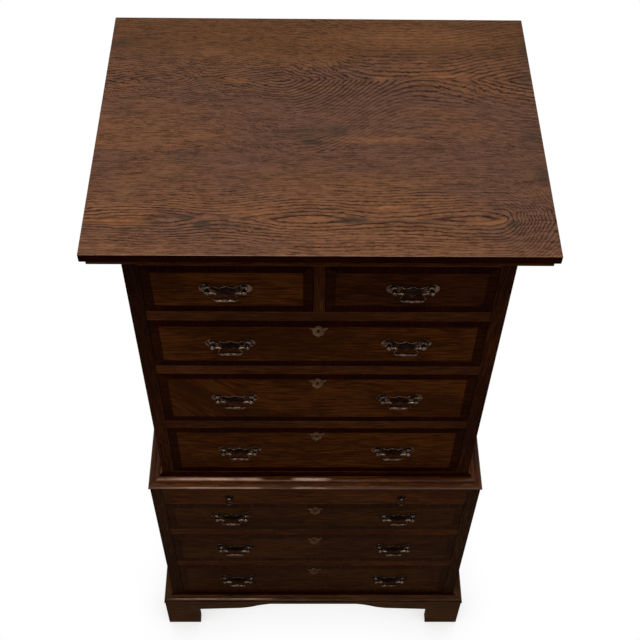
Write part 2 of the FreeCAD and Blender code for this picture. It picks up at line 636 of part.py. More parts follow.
def drawer_nodes(drawer):
    """A drawer's front, box, fittings and bails, by node name."""
    name, front_y = drawer["name"], drawer["y"]
    x = (drawer["x"][0] + FRONT_GAP, drawer["x"][1] - FRONT_GAP)
    z = (drawer["z"][0] + FRONT_GAP, drawer["z"][1] - FRONT_GAP)
    floor = drawer["z"][0]
    side_z = (floor, z[1] - SIDE_DROP)
    root_y = front_y + FRONT_THICK
    end_y = INNER_BACK_Y - ROOM_BEHIND
    back_y = (end_y - BACK_INSET - DRAWER_BACK, end_y - BACK_INSET)
    panel_z = (floor + BOTTOM_RISE, floor + BOTTOM_RISE + DRAWER_BOTTOM)
    inner_x = (x[0] + DRAWER_SIDE, x[1] - DRAWER_SIDE)
    groove_x = (inner_x[0] - GROOVE_DEPTH, inner_x[1] + GROOVE_DEPTH)
    housing_x = (inner_x[0] - BACK_HOUSING, inner_x[1] + BACK_HOUSING)
    panel = block(groove_x, (root_y - GROOVE_DEPTH, end_y), panel_z)
    back = block(housing_x, back_y, (panel_z[1], side_z[1] - BACK_DROP))
    housing = block(housing_x, back_y, (panel_z[1], side_z[1]))
    tail_list = tails(side_z, front_y)
    edge = [(root_y, side_z[0])] + [point for tail in tail_list for point in tail]
    steps = edge + [(root_y, side_z[1]), (end_y, side_z[1]), (end_y, side_z[0])]
    sides = [slab(steps, span).cut(panel).cut(housing) for span in ((x[0], inner_x[0]), (inner_x[1], x[1]))]
    sockets = [slab(tail, span) for tail in tail_list
               for span in ((x[0] - OVERRUN, inner_x[0]), (inner_x[1], x[1] + OVERRUN))]
    front = block(x, (front_y, root_y), z).cut(panel).cut(sockets)
    pivot_z = drawer["pivot_z"]
    nodes = {}
    fittings = []
    for side, handle_x in drawer["handles"].items():
        fittings.append(backplate(handle_x, pivot_z, front_y))
        for post_x in (handle_x - POST_SPACING / 2, handle_x + POST_SPACING / 2):
            fittings.append(post(post_x, pivot_z, front_y))
            front = front.cut(post_hole(post_x, pivot_z, front_y))
        bail_name = name + "_bail" + ("_" + side if side else "")
        nodes[bail_name] = bail(handle_x, pivot_z, front_y)
    if drawer["lock"]:
        key_x, key_z = (x[0] + x[1]) / 2, z[1] - ESCUTCHEON_DROP
        lock = lock_place(drawer)
        fittings += [escutcheon(key_x, key_z, front_y), lock]
        front = front.cut(lock).cut(keyhole(key_x, key_z, (front_y - OVERRUN, root_y + OVERRUN)))
    nodes[name + "_front"] = [front]
    nodes[name + "_box"] = sides + [back, panel]
    nodes[name + "_fittings"] = fittings
    return nodes


# ---------------------------------------------------------------- brushing slide
def brushing_slide():
    """The slide's board and the lipping across its front edge, tongued together."""
    half = LOWER_MOUTH - FRONT_GAP
    z = (SLIDE_Z, SLIDE_Z + SLIDE_THICK)
    third = SLIDE_THICK / 3
    joint_y = LOWER_Y + SLIDE_LIPPING
    tongue = block((-half, half), (joint_y - third, joint_y), (z[0] + third, z[1] - third))
    lipping = block((-half, half), (LOWER_Y, joint_y), z).cut(tongue)
    board = block((-half, half), (joint_y, SLIDE_BACK_Y), z).fuse(tongue).removeSplitter()
    return [lipping, board]


def pull_mount(x):
    """A drop pull's rosette, and the forked stud that holds the pin."""
    pivot_y = LOWER_Y - PULL_STANDOFF
    throat_y = pivot_y + DROP_HEAD_R + FORK_CLEARANCE
    tip_y = pivot_y - FORK_HEIGHT / 2
    inner = DROP_HEAD_LENGTH / 2 + FORK_CLEARANCE
    outer = inner + FORK_CHEEK
    z = (PULL_Z - FORK_HEIGHT / 2, PULL_Z + FORK_HEIGHT / 2)
    rosette = turned(Vector(0, -1, 0), Vector(x, LOWER_Y, PULL_Z),
                     [(0, ROSETTE_R), (ROSETTE_THICK, ROSETTE_EDGE_R)])
    stud = block((x - outer, x + outer), (throat_y, LOWER_Y - ROSETTE_THICK), z)
    cheeks = [block(span, (tip_y, throat_y), z) for span in ((x - outer, x - inner), (x + inner, x + outer))]
    pin = turned(Vector(1, 0, 0), Vector(x - outer, pivot_y, PULL_Z),
                 [(0, DROP_PIN_R), (2 * outer, DROP_PIN_R)])
    return rosette.fuse([stud, pin] + cheeks).removeSplitter()


def drop(x):
    """A teardrop loop, hanging by a head bored for the pin."""
    pivot = Vector(x, LOWER_Y - PULL_STANDOFF, PULL_Z)
    side = Vector(DROP_HEAD_LENGTH / 2, 0, 0)
    head = turned(side, pivot - side, [(0, DROP_HEAD_R), (DROP_HEAD_LENGTH, DROP_HEAD_R)])
    loop, eye = (plate(moved(with_left_half(stretched(steps, DROP_WIDTH / 2, DROP_LENGTH)), x, PULL_Z),
                       (pivot.y - depth / 2, pivot.y + depth / 2))
                 for steps, depth in ((LOOP, DROP_THICK), (LOOP_EYE, DROP_THICK + 2 * OVERRUN)))
    return head.fuse(loop).cut([eye, bore(pivot, DROP_HEAD_LENGTH, DROP_PIN_R)])


# ---------------------------------------------------------------- the nodes
def build():
    """Every node's solids, by node name."""
    upper_z = (LOWER_TOP_Z, UPPER_TOP_Z)
    lower_z = (FOOT_HEIGHT, LOWER_TOP_Z)
    upper_right = side_board(UPPER_HALF, UPPER_Y, upper_z)
    lower_right = side_board(LOWER_HALF, LOWER_Y, lower_z)
    nodes = {
        "top_board": top_board(),
        "cornice_moulding": cornice_moulding(),
        "upper_left_side": [mirrored(upper_right[0])],
        "upper_right_side": upper_right,
        "upper_front_frame": upper_front_frame(),
        "upper_bottom_board": [shelf(UPPER_HALF, UPPER_Y, (LOWER_TOP_Z, LOWER_TOP_Z + SHELF_BOARD))],
        "upper_back_boards": back_boards(UPPER_HALF, upper_z),
        "upper_runners": upper_runners(),
        "waist_moulding": waist_moulding(),
        "lower_left_side": [mirrored(lower_right[0])],
        "lower_right_side": lower_right,
        "lower_front_frame": lower_front_frame(),
        "lower_top_board": [shelf(LOWER_HALF, LOWER_Y, (LOWER_TOP_Z - SHELF_BOARD, LOWER_TOP_Z))],
        "lower_bottom_board": [shelf(LOWER_HALF, LOWER_Y, (FOOT_HEIGHT, FOOT_HEIGHT + SHELF_BOARD))],
        "lower_back_boards": back_boards(LOWER_HALF, lower_z),
        "lower_runners": lower_runners(),
        "base_moulding": base_moulding(),
        "bracket_feet": bracket_feet() + base_frame(),
        "brushing_slide": brushing_slide(),
        "slide_pull_mounts": [pull_mount(-PULL_X), pull_mount(PULL_X)],
        "slide_drop_left": [drop(-PULL_X)],
        "slide_drop_right": [drop(PULL_X)],
    }
    for drawer in drawer_list():
        nodes.update(drawer_nodes(drawer))
    return nodes


os.makedirs("parts", exist_ok=True)
for node, solids in build().items():
    pieces = [solid for shape in solids for solid in shape.Solids]
    shape = pieces[0] if len(pieces) == 1 else Part.makeCompound(pieces)
    shape.exportStep(os.path.join("parts", node + ".step"))
    print(node, len(pieces), round(shape.Volume / 1000, 1), "cm3", "valid" if shape.isValid() else "INVALID")
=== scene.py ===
import logging
import math
from contextlib import contextmanager
from dataclasses import dataclass, field, replace
from enum import Enum
from functools import reduce
from typing import Callable, Iterable, Iterator, NamedTuple, Optional, Sequence, Union

import bmesh
import bpy
from mathutils import Matrix, Vector


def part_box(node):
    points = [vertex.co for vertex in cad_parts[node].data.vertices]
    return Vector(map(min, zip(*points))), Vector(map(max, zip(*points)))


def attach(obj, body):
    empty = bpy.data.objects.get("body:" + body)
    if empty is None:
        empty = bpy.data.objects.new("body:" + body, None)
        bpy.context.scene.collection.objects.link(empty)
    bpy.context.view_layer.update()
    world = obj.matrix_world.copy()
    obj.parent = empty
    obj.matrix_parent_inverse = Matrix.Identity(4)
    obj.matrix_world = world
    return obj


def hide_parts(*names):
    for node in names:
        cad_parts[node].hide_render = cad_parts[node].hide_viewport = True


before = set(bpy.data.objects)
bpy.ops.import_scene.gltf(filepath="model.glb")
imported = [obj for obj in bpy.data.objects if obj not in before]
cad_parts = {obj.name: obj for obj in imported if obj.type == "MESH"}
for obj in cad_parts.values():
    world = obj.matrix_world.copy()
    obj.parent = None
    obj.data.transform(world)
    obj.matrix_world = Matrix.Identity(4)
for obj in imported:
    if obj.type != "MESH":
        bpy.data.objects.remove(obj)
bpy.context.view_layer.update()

# Chest on chest in dark oak: the finishes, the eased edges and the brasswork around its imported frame.
# Metres.  X runs left to right, the drawers open towards -Y, Z is up and the feet stand on Z = 0.

Colour = tuple[float, float, float]
Point = tuple[float, float]
Faces = list[bmesh.types.BMFace]
Edges = list[bmesh.types.BMEdge]
Number = Union["Value", float]
Stops = Sequence[tuple[float, Union[float, Colour]]]
log = logging.getLogger("chest")

MM = 0.001
MERGE = 1e-6                  # corners closer than this are one
FACET = math.radians(32)      # faces that meet at less than this are shaded as one surface
SIDES = (-1, 1)               # left and right
TOWARDS, INWARDS = Vector((0, -1, 0)), Vector((0, 1, 0))
RIGHTWARDS, DOWNWARDS = Vector((1, 0, 0)), Vector((0, 0, -1))

UPPER_HALF, LOWER_HALF = 0.328, 0.355           # half the widths of the two cases
UPPER_FRONT, LOWER_FRONT = -0.239, -0.266       # Y of their fronts
BACK = 0.292                                    # Y of their backs
UPPER_HANDLE, LOWER_HANDLE = 0.159, 0.186       # X of their handles, left and right
FRONT_THICK = 20.0            # of a drawer's front, in millimetres
LOCK_TOP = 29.0               # the lock's top, level with the drawer's, above the keyhole; millimetres

DULL = 0.002                  # specular level of old waxed wood that has lost its shine
YEAR = 0.0042                 # one year's growth of the oak
FINE, SOFT = 3.0, 2.0         # octaves of noise
ROUGH = 0.6                   # share of each finer octave, where it is more than half


# ---------------------------------------------------------------- shaders
def math_node(operation: str, flipped: bool = False) -> Callable[..., "Value"]:
    """A method of Value that adds one Math node.

    Args:
        operation: The Math node's operation.
        flipped: Whether the value that owns the method comes last.

    Returns:
        The method.
    """
    def method(self: "Value", *others: Number) -> "Value":
        """Feed this value and the others to the node."""
        values = (*others, self) if flipped else (self, *others)
        return self.recipe.node("ShaderNodeMath", {"operation": operation}, dict(enumerate(values)))

    return method


class Value:
    """A node's socket that can be used in sums, so that shader maths reads as Python."""

    __add__ = __radd__ = math_node("ADD")
    __sub__, __rsub__ = math_node("SUBTRACT"), math_node("SUBTRACT", flipped=True)
    __mul__ = __rmul__ = math_node("MULTIPLY")
    __truediv__, __pow__, __abs__ = math_node("DIVIDE"), math_node("POWER"), math_node("ABSOLUTE")
    part, root = math_node("FRACT"), math_node("SQRT")
    least, most = math_node("MINIMUM"), math_node("MAXIMUM")

    def __init__(self, recipe: "Recipe", socket: bpy.types.NodeSocket) -> None:
        """Keep the socket and the recipe that its sums are added to."""
        self.recipe = recipe
        self.socket = socket

    def rise(self, low: float, high: float) -> "Value":
        """A smooth step.

        Args:
            low: Where it is 0.
            high: Where it is 1; below low it falls instead.

        Returns:
            The step, from 0 to 1.
        """
        first, last, ends = (low, high, (0.0, 1.0)) if low < high else (high, low, (1.0, 0.0))
        return self.recipe.node("ShaderNodeMapRange", {"interpolation_type": "SMOOTHSTEP"},
                                {0: self, 1: first, 2: last, 3: ends[0], 4: ends[1]})


Input = Union[Value, float, Colour, Sequence[float]]


class Recipe:
    """A material's nodes."""

    def __init__(self, name: str, tree: Optional[bpy.types.NodeTree] = None) -> None:
        """Start a material with a Principled BSDF and nothing else, or add to the nodes of the world."""
        if tree is None:
            self.material = bpy.data.materials.new(name)
            self.material.use_nodes = True
            tree = self.material.node_tree
            self.shader = tree.nodes["Principled BSDF"]
        self.tree = tree

    def node(self, kind: str, settings: dict[str, object], inputs: dict[Union[int, str], Input],
             output: Union[int, str] = 0) -> Value:
        """Add a node.

        Args:
            kind: The node's type.
            settings: Its settings, set first; "stops" are a ramp's (place, colour) pairs.
            inputs: Values or links for its sockets.
            output: The socket that the result is read from.

        Returns:
            The output socket.
        """
        made = self.tree.nodes.new(kind)
        for name, setting in settings.items():
            if name == "stops":
                self.set_stops(made.color_ramp, setting)
            else:
                setattr(made, name, setting)
        for key, value in inputs.items():
            self.feed(made.inputs[key], value)
        return Value(self, made.outputs[output])

    @staticmethod
    def set_stops(ramp: bpy.types.ColorRamp, stops: Stops) -> None:
        """Put stops on a ramp.

        Args:
            ramp: The ramp.
            stops: (place, colour) pairs; a colour may be one number, for grey.
        """
        while len(ramp.elements) < len(stops):
            ramp.elements.new(1.0)
        for element, (place, colour) in zip(ramp.elements, stops):
            element.position = place
            shade = (colour,) * 3 if isinstance(colour, float) else colour
            element.color = (*shade, 1.0)

    def feed(self, socket: bpy.types.NodeSocket, value: Input) -> None:
        """Link or set one input socket.

        Args:
            socket: The socket.
            value: What it gets.
        """
        if isinstance(value, Value):
            self.tree.links.new(value.socket, socket)
        elif isinstance(value, (int, float)):
            socket.default_value = value
        else:
            socket.default_value = (*value, 1.0) if socket.type == "RGBA" else value

    def ramp(self, value: Value, stops: Stops, interpolation: str = "LINEAR") -> Value:
        """Read a value through a ramp.

        Args:
            value: The value.
            stops: The ramp's (place, colour) pairs.
            interpolation: How it runs between them.

        Returns:
            The ramp's colour.
        """
        made = self.node("ShaderNodeValToRGB", {"stops": stops}, {"Fac": value}, "Color")
        made.socket.node.color_ramp.interpolation = interpolation
        return made

    def mix(self, amount: Number, first: Input, second: Input) -> Value:
        """Mix two colours."""
        return self.node("ShaderNodeMix", {"data_type": "RGBA"}, {0: amount, 6: first, 7: second}, 2)

    def vectors(self, operation: str, *vectors: Input, output: Union[int, str] = 0) -> Value:
        """Sums on vectors."""
        return self.node("ShaderNodeVectorMath", {"operation": operation}, dict(enumerate(vectors)),
                         output)

    def noise(self, vector: Value, stretch: Sequence[float], detail: float = SOFT,
              roughness: float = 0.5) -> Value:
        """Noise, from 0 to 1.

        Args:
            vector: The coordinates, in metres.
            stretch: Cycles a metre along each of them.
            detail: Octaves.
            roughness: Share of each finer octave.

        Returns:
            The noise.
        """
        spread = self.vectors("MULTIPLY", vector, stretch)
        return self.node("ShaderNodeTexNoise", {"noise_dimensions": "3D"},
                         {"Vector": spread, "Scale": 1.0, "Detail": detail, "Roughness": roughness})

    def position(self) -> Value:
        """Object coordinates."""
        return self.node("ShaderNodeTexCoord", {}, {}, "Object")

    def parts(self, vector: Value) -> list[Value]:
        """A vector's three numbers."""
        split = self.node("ShaderNodeSeparateXYZ", {}, {0: vector})
        return [Value(self, socket) for socket in split.socket.node.outputs]

    def vector(self, values: Sequence[Number]) -> Value:
        """Three numbers as one vector."""
        return self.node("ShaderNodeCombineXYZ", {}, dict(enumerate(values)))

    def bump(self, height: Value, depth: float = 0.00025, strength: float = 0.5) -> Value:
        """A normal for a height from 0 to 1 that stands for a depth in metres."""
        return self.node("ShaderNodeBump", {},
                         {"Height": height, "Distance": depth, "Strength": strength})

    def surface(self, **sockets: Input) -> bpy.types.Material:
        """Feed the shader's sockets, spaces written as underscores, and give the material."""
        for name, value in sockets.items():
            self.feed(self.shader.inputs[name.replace("_", " ")], value)
        return self.material


# ---------------------------------------------------------------- finishes
class Grain(Enum):
    """Which way the fibres run, as the order of the axes: along, across and through."""

    LEFT_RIGHT = (0, 1, 2)
    FRONT_BACK = (1, 0, 2)
    UPRIGHT = (2, 0, 1)


@dataclass(frozen=True)
class Tones:
    """The colours of one stain of oak."""

    smooth: Colour            # the later part of a year's growth
    open: Colour              # the porous early part
    warm: Colour              # where the stain is worn thin
    deep: Colour              # in the pores and under old wax


FRONT_TONES = Tones(smooth=(0.043, 0.0110, 0.0021), open=(0.0165, 0.0040, 0.0008),
                    warm=(0.077, 0.0225, 0.0034), deep=(0.0060, 0.0014, 0.0004))
LOWER_TONES = Tones(smooth=(0.0315, 0.0105, 0.0031), open=(0.0140, 0.0046, 0.0014),
                    warm=(0.053, 0.0185, 0.0049), deep=(0.0052, 0.0017, 0.0006))
DIM_TONES = Tones(smooth=(0.026, 0.0065, 0.0017), open=(0.0108, 0.0026, 0.0008),
                  warm=(0.045, 0.0122, 0.0027), deep=(0.0050, 0.0013, 0.0004))
CASE_TONES = Tones(smooth=(0.044, 0.0128, 0.0040), open=(0.019, 0.0050, 0.0018),
                   warm=(0.072, 0.0228, 0.0060), deep=(0.0056, 0.0014, 0.0006))
STILE_TONES = Tones(smooth=(0.0250, 0.0068, 0.0022), open=(0.0104, 0.0028, 0.0010),
                    warm=(0.043, 0.0128, 0.0036), deep=(0.0038, 0.0010, 0.0005))
LOW_STILE_TONES = Tones(smooth=(0.0250, 0.0098, 0.0040), open=(0.0115, 0.0044, 0.0018),
                        warm=(0.037, 0.0155, 0.0062), deep=(0.0040, 0.0014, 0.0006))
BASE_TONES = Tones(smooth=(0.048, 0.0200, 0.0078), open=(0.026, 0.0100, 0.0038),
                   warm=(0.074, 0.0310, 0.0105), deep=(0.0090, 0.0034, 0.0014))
WAIST_TONES = Tones(smooth=(0.068, 0.0190, 0.0046), open=(0.030, 0.0076, 0.0019),
                    warm=(0.115, 0.0360, 0.0078), deep=(0.0090, 0.0024, 0.0008))
# Slightly paler oak for the front arrises of the rails and the slide's lipping: part wear, part painted
# highlight.
EDGE_WEAR_AND_SHEEN_TONES = Tones(smooth=(0.052, 0.0185, 0.0060), open=(0.028, 0.0094, 0.0030),
                   warm=(0.070, 0.0250, 0.0078), deep=(0.0120, 0.0038, 0.0014))
# Pale tones of the painted highlights along the crests of mouldings.
CREST_HIGHLIGHT_TONES = Tones(smooth=(0.320, 0.1920, 0.1300), open=(0.230, 0.1280, 0.0820),
                     warm=(0.370, 0.2350, 0.1700), deep=(0.0900, 0.0400, 0.0220))
# Paler still, for the painted highlight on the waist moulding's bead.
BEAD_HIGHLIGHT_TONES = Tones(smooth=(0.470, 0.2900, 0.2000), open=(0.360, 0.2100, 0.1400),
                   warm=(0.520, 0.3400, 0.2500), deep=(0.1400, 0.0640, 0.0380))
# Pale tones of the painted highlight along the top's front arris.
ARRIS_HIGHLIGHT_TONES = Tones(smooth=(0.205, 0.1150, 0.0700), open=(0.120, 0.0600, 0.0340),
                    warm=(0.260, 0.1450, 0.0880), deep=(0.0500, 0.0210, 0.0110))
BAND_TONES = Tones(smooth=(0.0112, 0.0014, 0.0005), open=(0.0058, 0.0008, 0.0003),
                   warm=(0.0185, 0.0028, 0.0007), deep=(0.0024, 0.0004, 0.0002))
END_TONES = Tones(smooth=(0.0142, 0.0030, 0.0006), open=(0.0076, 0.0016, 0.0004),
                  warm=(0.0230, 0.0056, 0.0010), deep=(0.0030, 0.0006, 0.0002))
LOW_BAND_TONES = Tones(smooth=(0.0215, 0.0074, 0.0026), open=(0.0110, 0.0036, 0.0013),
                       warm=(0.0320, 0.0115, 0.0038), deep=(0.0034, 0.0009, 0.0004))
INSIDE_TONES = Tones(smooth=(0.255, 0.150, 0.072), open=(0.150, 0.082, 0.037),
                     warm=(0.330, 0.190, 0.082), deep=(0.060, 0.031, 0.015))
BACK_TONES = Tones(smooth=(0.125, 0.068, 0.034), open=(0.072, 0.037, 0.018),
                   warm=(0.170, 0.088, 0.040), deep=(0.026, 0.013, 0.007))


class OakFigure:
    """Growth rings, fibres, pores and patches of one board, as values on a recipe."""

    def __init__(self, recipe: Recipe, place: Value, grain: Grain, ring: float = YEAR,
                 heart: Point = (0.37, -0.24)) -> None:
        """Lay the figure out.

        Args:
            recipe: The material that it belongs to.
            place: Coordinates, in metres.
            grain: Which way the fibres run.
            ring: A year's growth, in metres.
            heart: The middle of the tree, across and through.
        """
        axes = recipe.parts(place)
        along, self.across, through = (axes[i] for i in grain.value)
        self.recipe = recipe
        self.board = recipe.vector((along, self.across, through))
        drift = self.noise(1.6, 7.0, FINE) * 9.0
        ripple = self.noise(14.0, 70.0) * 1.1
        aside, below = self.across - heart[0], through - heart[1]
        reach = (aside * aside + below * below).root()
        rings = (reach / ring + drift + ripple).part()
        # The porous early wood of each year, then the short open pores, each from 0 to 1.
        self.early = recipe.ramp(rings, ((0.0, 1.0), (0.24, 0.8), (0.5, 0.12), (0.9, 0.0), (1.0, 1.0)))
        self.pores = self.noise(55.0, 1250.0, 1.0).rise(0.56, 0.70)
        # Fine streaks along the grain, then changes of tone, broad ones and streaks.
        self.fibres = self.noise(26.0, 430.0, FINE, ROUGH)
        self.patches = self.noise(3.2, 11.0) * 0.4 + self.noise(22.0, 210.0, FINE, ROUGH) * 0.6

    def noise(self, along: float, across: float, detail: float = SOFT, roughness: float = 0.5) -> Value:
        """Noise drawn out along the grain, by its cycles a metre along and across."""
        return self.recipe.noise(self.board, (along, across, across), detail, roughness)

    def colour(self, tones: Tones) -> Value:
        """Colour of the board in one stain.

        Args:
            tones: The stain.

        Returns:
            The colour.
        """
        share = self.early * 0.45 + self.fibres.rise(0.36, 0.62) * 0.62
        body = self.recipe.mix(share.least(1.0), tones.smooth, tones.open)
        thin = self.patches.rise(0.44, 0.60) * (1.0 - share * 0.6)
        return self.recipe.mix(self.pores * (self.early * 0.5 + 0.4),
                               self.recipe.mix(thin, body, tones.warm), tones.deep)


@dataclass(frozen=True)
class Oak:
    """Plain stained oak with its fibres one way."""

    name: str
    tones: Tones
    grain: Grain = Grain.LEFT_RIGHT
    gloss: float = DULL
    roughness: float = 0.46
    plank: float = 0.0        # width of the boards that it is made up of, with dark joints between them
    weathered: float = 0.466  # how far such boards take the porous wood's tone all over
    joint: Point = (0.0013, 0.0007)   # half widths of the boards' joints, where dark and where darkest
    shaded_top: Optional[Point] = None     # Z between which painted shade darkens it upwards, left of the middle

    def make(self) -> bpy.types.Material:
        """The material."""
        recipe = Recipe(self.name)
        place = recipe.position()
        figure = OakFigure(recipe, place, self.grain)
        colour = figure.colour(self.tones)
        height = 1.0 - figure.pores * 0.7 - figure.early * 0.25
        # Painted shade: darker upwards towards the cornice, left of the middle.
        if self.shaded_top:
            x, _, z = recipe.parts(place)
            top_shade = z.rise(*self.shaded_top) * x.rise(0.05, -0.05) * 0.55
            colour = recipe.mix(top_shade, colour, self.tones.deep)
        if self.plank:
            across = figure.across / self.plank
            joint = (abs((across + 0.5).part() - 0.5) * self.plank).rise(*self.joint)
            colour = recipe.mix(self.weathered, colour, self.tones.open)
            colour = recipe.mix(joint * 0.85, colour, self.tones.deep)
            height = height - joint * 2.0
        roughness = self.roughness + figure.pores * 0.2 + figure.fibres * 0.08
        return recipe.surface(Base_Color=colour, Roughness=roughness, Normal=recipe.bump(height),
                              Specular_IOR_Level=self.gloss)


@dataclass(frozen=True)
class PaintedHighlightOak:
    """The crest of a moulding, with a pale painted highlight in stretches towards its left end."""

    name: str
    tones: Tones
    stretches: tuple[tuple[float, float, float, float], ...]      # X of start, full, last full and end
    wear_and_sheen: Tones = CREST_HIGHLIGHT_TONES
    gloss: float = 0.3

    def make(self) -> bpy.types.Material:
        """The material."""
        recipe = Recipe(self.name)
        place = recipe.position()
        figure = OakFigure(recipe, place, Grain.LEFT_RIGHT)
        x = recipe.parts(place)[0]
        bright = reduce(Value.most, [x.rise(start, full) * x.rise(end, last)
                                     for start, full, last, end in self.stretches])
        patchy = recipe.noise(place, (26.0, 60.0, 60.0), FINE, ROUGH).rise(0.30, 0.56)
        # Painted highlight: the crest turns towards the pale tones along the stretches, in patches.
        amount = bright * (patchy * 0.45 + 0.55)
        colour = recipe.mix(amount, figure.colour(self.tones), figure.colour(self.wear_and_sheen))
        return recipe.surface(Base_Color=colour, Roughness=0.2 + patchy * 0.06,
                              Specular_IOR_Level=self.gloss)


@dataclass(frozen=True)
class DrawerOak:
    """A drawer front: a field with its grain left to right, and crossbanding round it."""

    name: str
    middle: Point             # of the front, X and Z
    half: Point               # half its width and height
    tones: Tones = FRONT_TONES
    band_tones: Tones = BAND_TONES    # of the banding above and below
    end_tones: Tones = END_TONES      # of the banding at the two ends
    slope: float = 0.0        # how far the field's grain dives at its left end
    band: float = 0.0165      # width of the banding
    seam: float = 0.0006      # half the width of the line between field and banding
    blur: float = 0.0002      # half the width over which one piece of veneer turns into the next
    ring: float = 0.0052      # a year's growth in the field
    band_ring: float = 0.0035

    def make(self) -> bpy.types.Material:
        """The material."""
        recipe = Recipe(self.name)
        place = recipe.position()
        x, y, z = recipe.parts(place)
        (middle, level), (half, tall) = self.middle, self.half
        side = half - abs(x - middle)
        end = tall - abs(z - level)
        inset = side.least(end)
        dive = x.rise(middle - half * 0.35, middle - half) * self.slope
        bent = recipe.vector((x, y, z + dive * (x - middle)))
        figure = OakFigure(recipe, bent, Grain.LEFT_RIGHT, self.ring, (-0.27, level - 0.31))
        above = OakFigure(recipe, place, Grain.UPRIGHT, self.band_ring, (0.9, 0.2))
        beside = OakFigure(recipe, place, Grain.LEFT_RIGHT, self.band_ring, (-0.27, 2.2))
        banding = recipe.mix((side - end).rise(self.blur, -self.blur), above.colour(self.band_tones),
                             beside.colour(self.end_tones))
        in_band = inset.rise(self.band + self.blur, self.band - self.blur)
        seam = abs(inset - self.band).rise(self.seam, 0.0)
        colour = recipe.mix(in_band, figure.colour(self.tones), banding)
        colour = recipe.mix(seam * 0.7, colour, self.band_tones.deep)
        height = 1.0 - figure.pores * 0.6 - seam * 0.8
        return recipe.surface(Base_Color=colour, Roughness=0.44 + figure.pores * 0.2,
                              Normal=recipe.bump(height), Specular_IOR_Level=DULL)


@dataclass(frozen=True)
class BoxOak:
    """A drawer's box: its sides run front to back, its bottom and back run left to right."""

    name: str
    middle: float             # X
    half: float               # from the middle to the inside of a side
    tones: Tones = INSIDE_TONES
    ring: float = 0.0048
    blur: float = 0.0001

    def make(self) -> bpy.types.Material:
        """The material."""
        recipe = Recipe(self.name)
        place = recipe.position()
        out = abs(recipe.parts(place)[0] - self.middle)
        between = out.rise(self.half + self.blur, self.half - self.blur)
        colours = [OakFigure(recipe, place, grain, self.ring).colour(self.tones)
                   for grain in (Grain.FRONT_BACK, Grain.LEFT_RIGHT)]
        grime = recipe.noise(place, (6.0,) * 3, FINE).rise(0.5, 0.75)
        colour = recipe.mix(grime * 0.45, recipe.mix(between, *colours), self.tones.open)
        return recipe.surface(Base_Color=colour, Roughness=0.62 + grime * 0.1, Specular_IOR_Level=0.2)


@dataclass(frozen=True)
class Heart:
    """The middle of one board of the top: its place, and how the rings come and go along it."""

    across: float             # Y
    years: tuple[tuple[float, float], ...]    # rings above the tree's middle, along X from end to end
    far_years: tuple[tuple[float, float], ...]      # the same on the side away from the front edge
    spacing: float            # of the rings beside the heart
    spread: float             # how much wider they lie at the right end
    crowd: float              # how much closer they get away from the heart, a metre
    bend: float               # 1 for arches with a sharp point, more for round ones


@dataclass(frozen=True)
class Spot:
    """A stain or a worn place of the top: its middle, half its size, and how strong it is."""

    x: float                  # millimetres here
    y: float
    half_x: float
    half_y: float
    strength: float


STAINS = (Spot(-193, 78, 26, 8, 0.55), Spot(-98, 148, 38, 10, 0.35), Spot(-25, -14, 42, 24, 0.45),
          Spot(-12, -38, 34, 8, 0.95), Spot(29, -11, 28, 21, 0.65), Spot(-227, -75, 42, 22, 0.35),
          Spot(-362, 215, 34, 22, 0.4), Spot(376, 196, 16, 50, 0.55), Spot(372, 126, 22, 30, 0.6),
          Spot(360, -22, 24, 26, 0.5), Spot(372, -117, 14, 30, 0.6), Spot(-262, -223, 22, 6, 0.7),
          Spot(-224, -212, 26, 6, 0.9), Spot(-192, -228, 20, 10, 1.0), Spot(-140, -230, 26, 6, 0.5),
          Spot(55, -216, 38, 9, 0.95), Spot(145, -221, 60, 7, 0.5), Spot(162, -184, 20, 5, 0.7),
          Spot(309, -222, 13, 9, 0.8), Spot(-33, -203, 28, 4, 0.55), Spot(-25, -240, 26, 4, 0.45),
          Spot(-213, 119, 12, 14, 0.45))
WORN_PLACES = (Spot(-150, 117, 26, 9, 0.7), Spot(230, 134, 60, 8, 0.9), Spot(180, 238, 170, 34, 0.45),
               Spot(95, -33, 95, 11, 0.5), Spot(-317, -219, 66, 15, 0.8), Spot(-114, -200, 54, 8, 0.55),
               Spot(115, -188, 46, 6, 1.0), Spot(272, -219, 44, 9, 0.95), Spot(104, 121, 18, 8, 0.6),
               Spot(-325, 104, 44, 7, 0.5), Spot(-180, 190, 90, 18, 0.3))


LEFT_YEARS = ((0.0, 0.24), (0.06, 0.17), (0.14, 0.01), (0.19, 0.12), (0.225, 0.26), (0.27, 0.20),
              (0.33, 0.10), (0.40, 0.01), (0.455, 0.06))     # of the rear heart, both sides of it


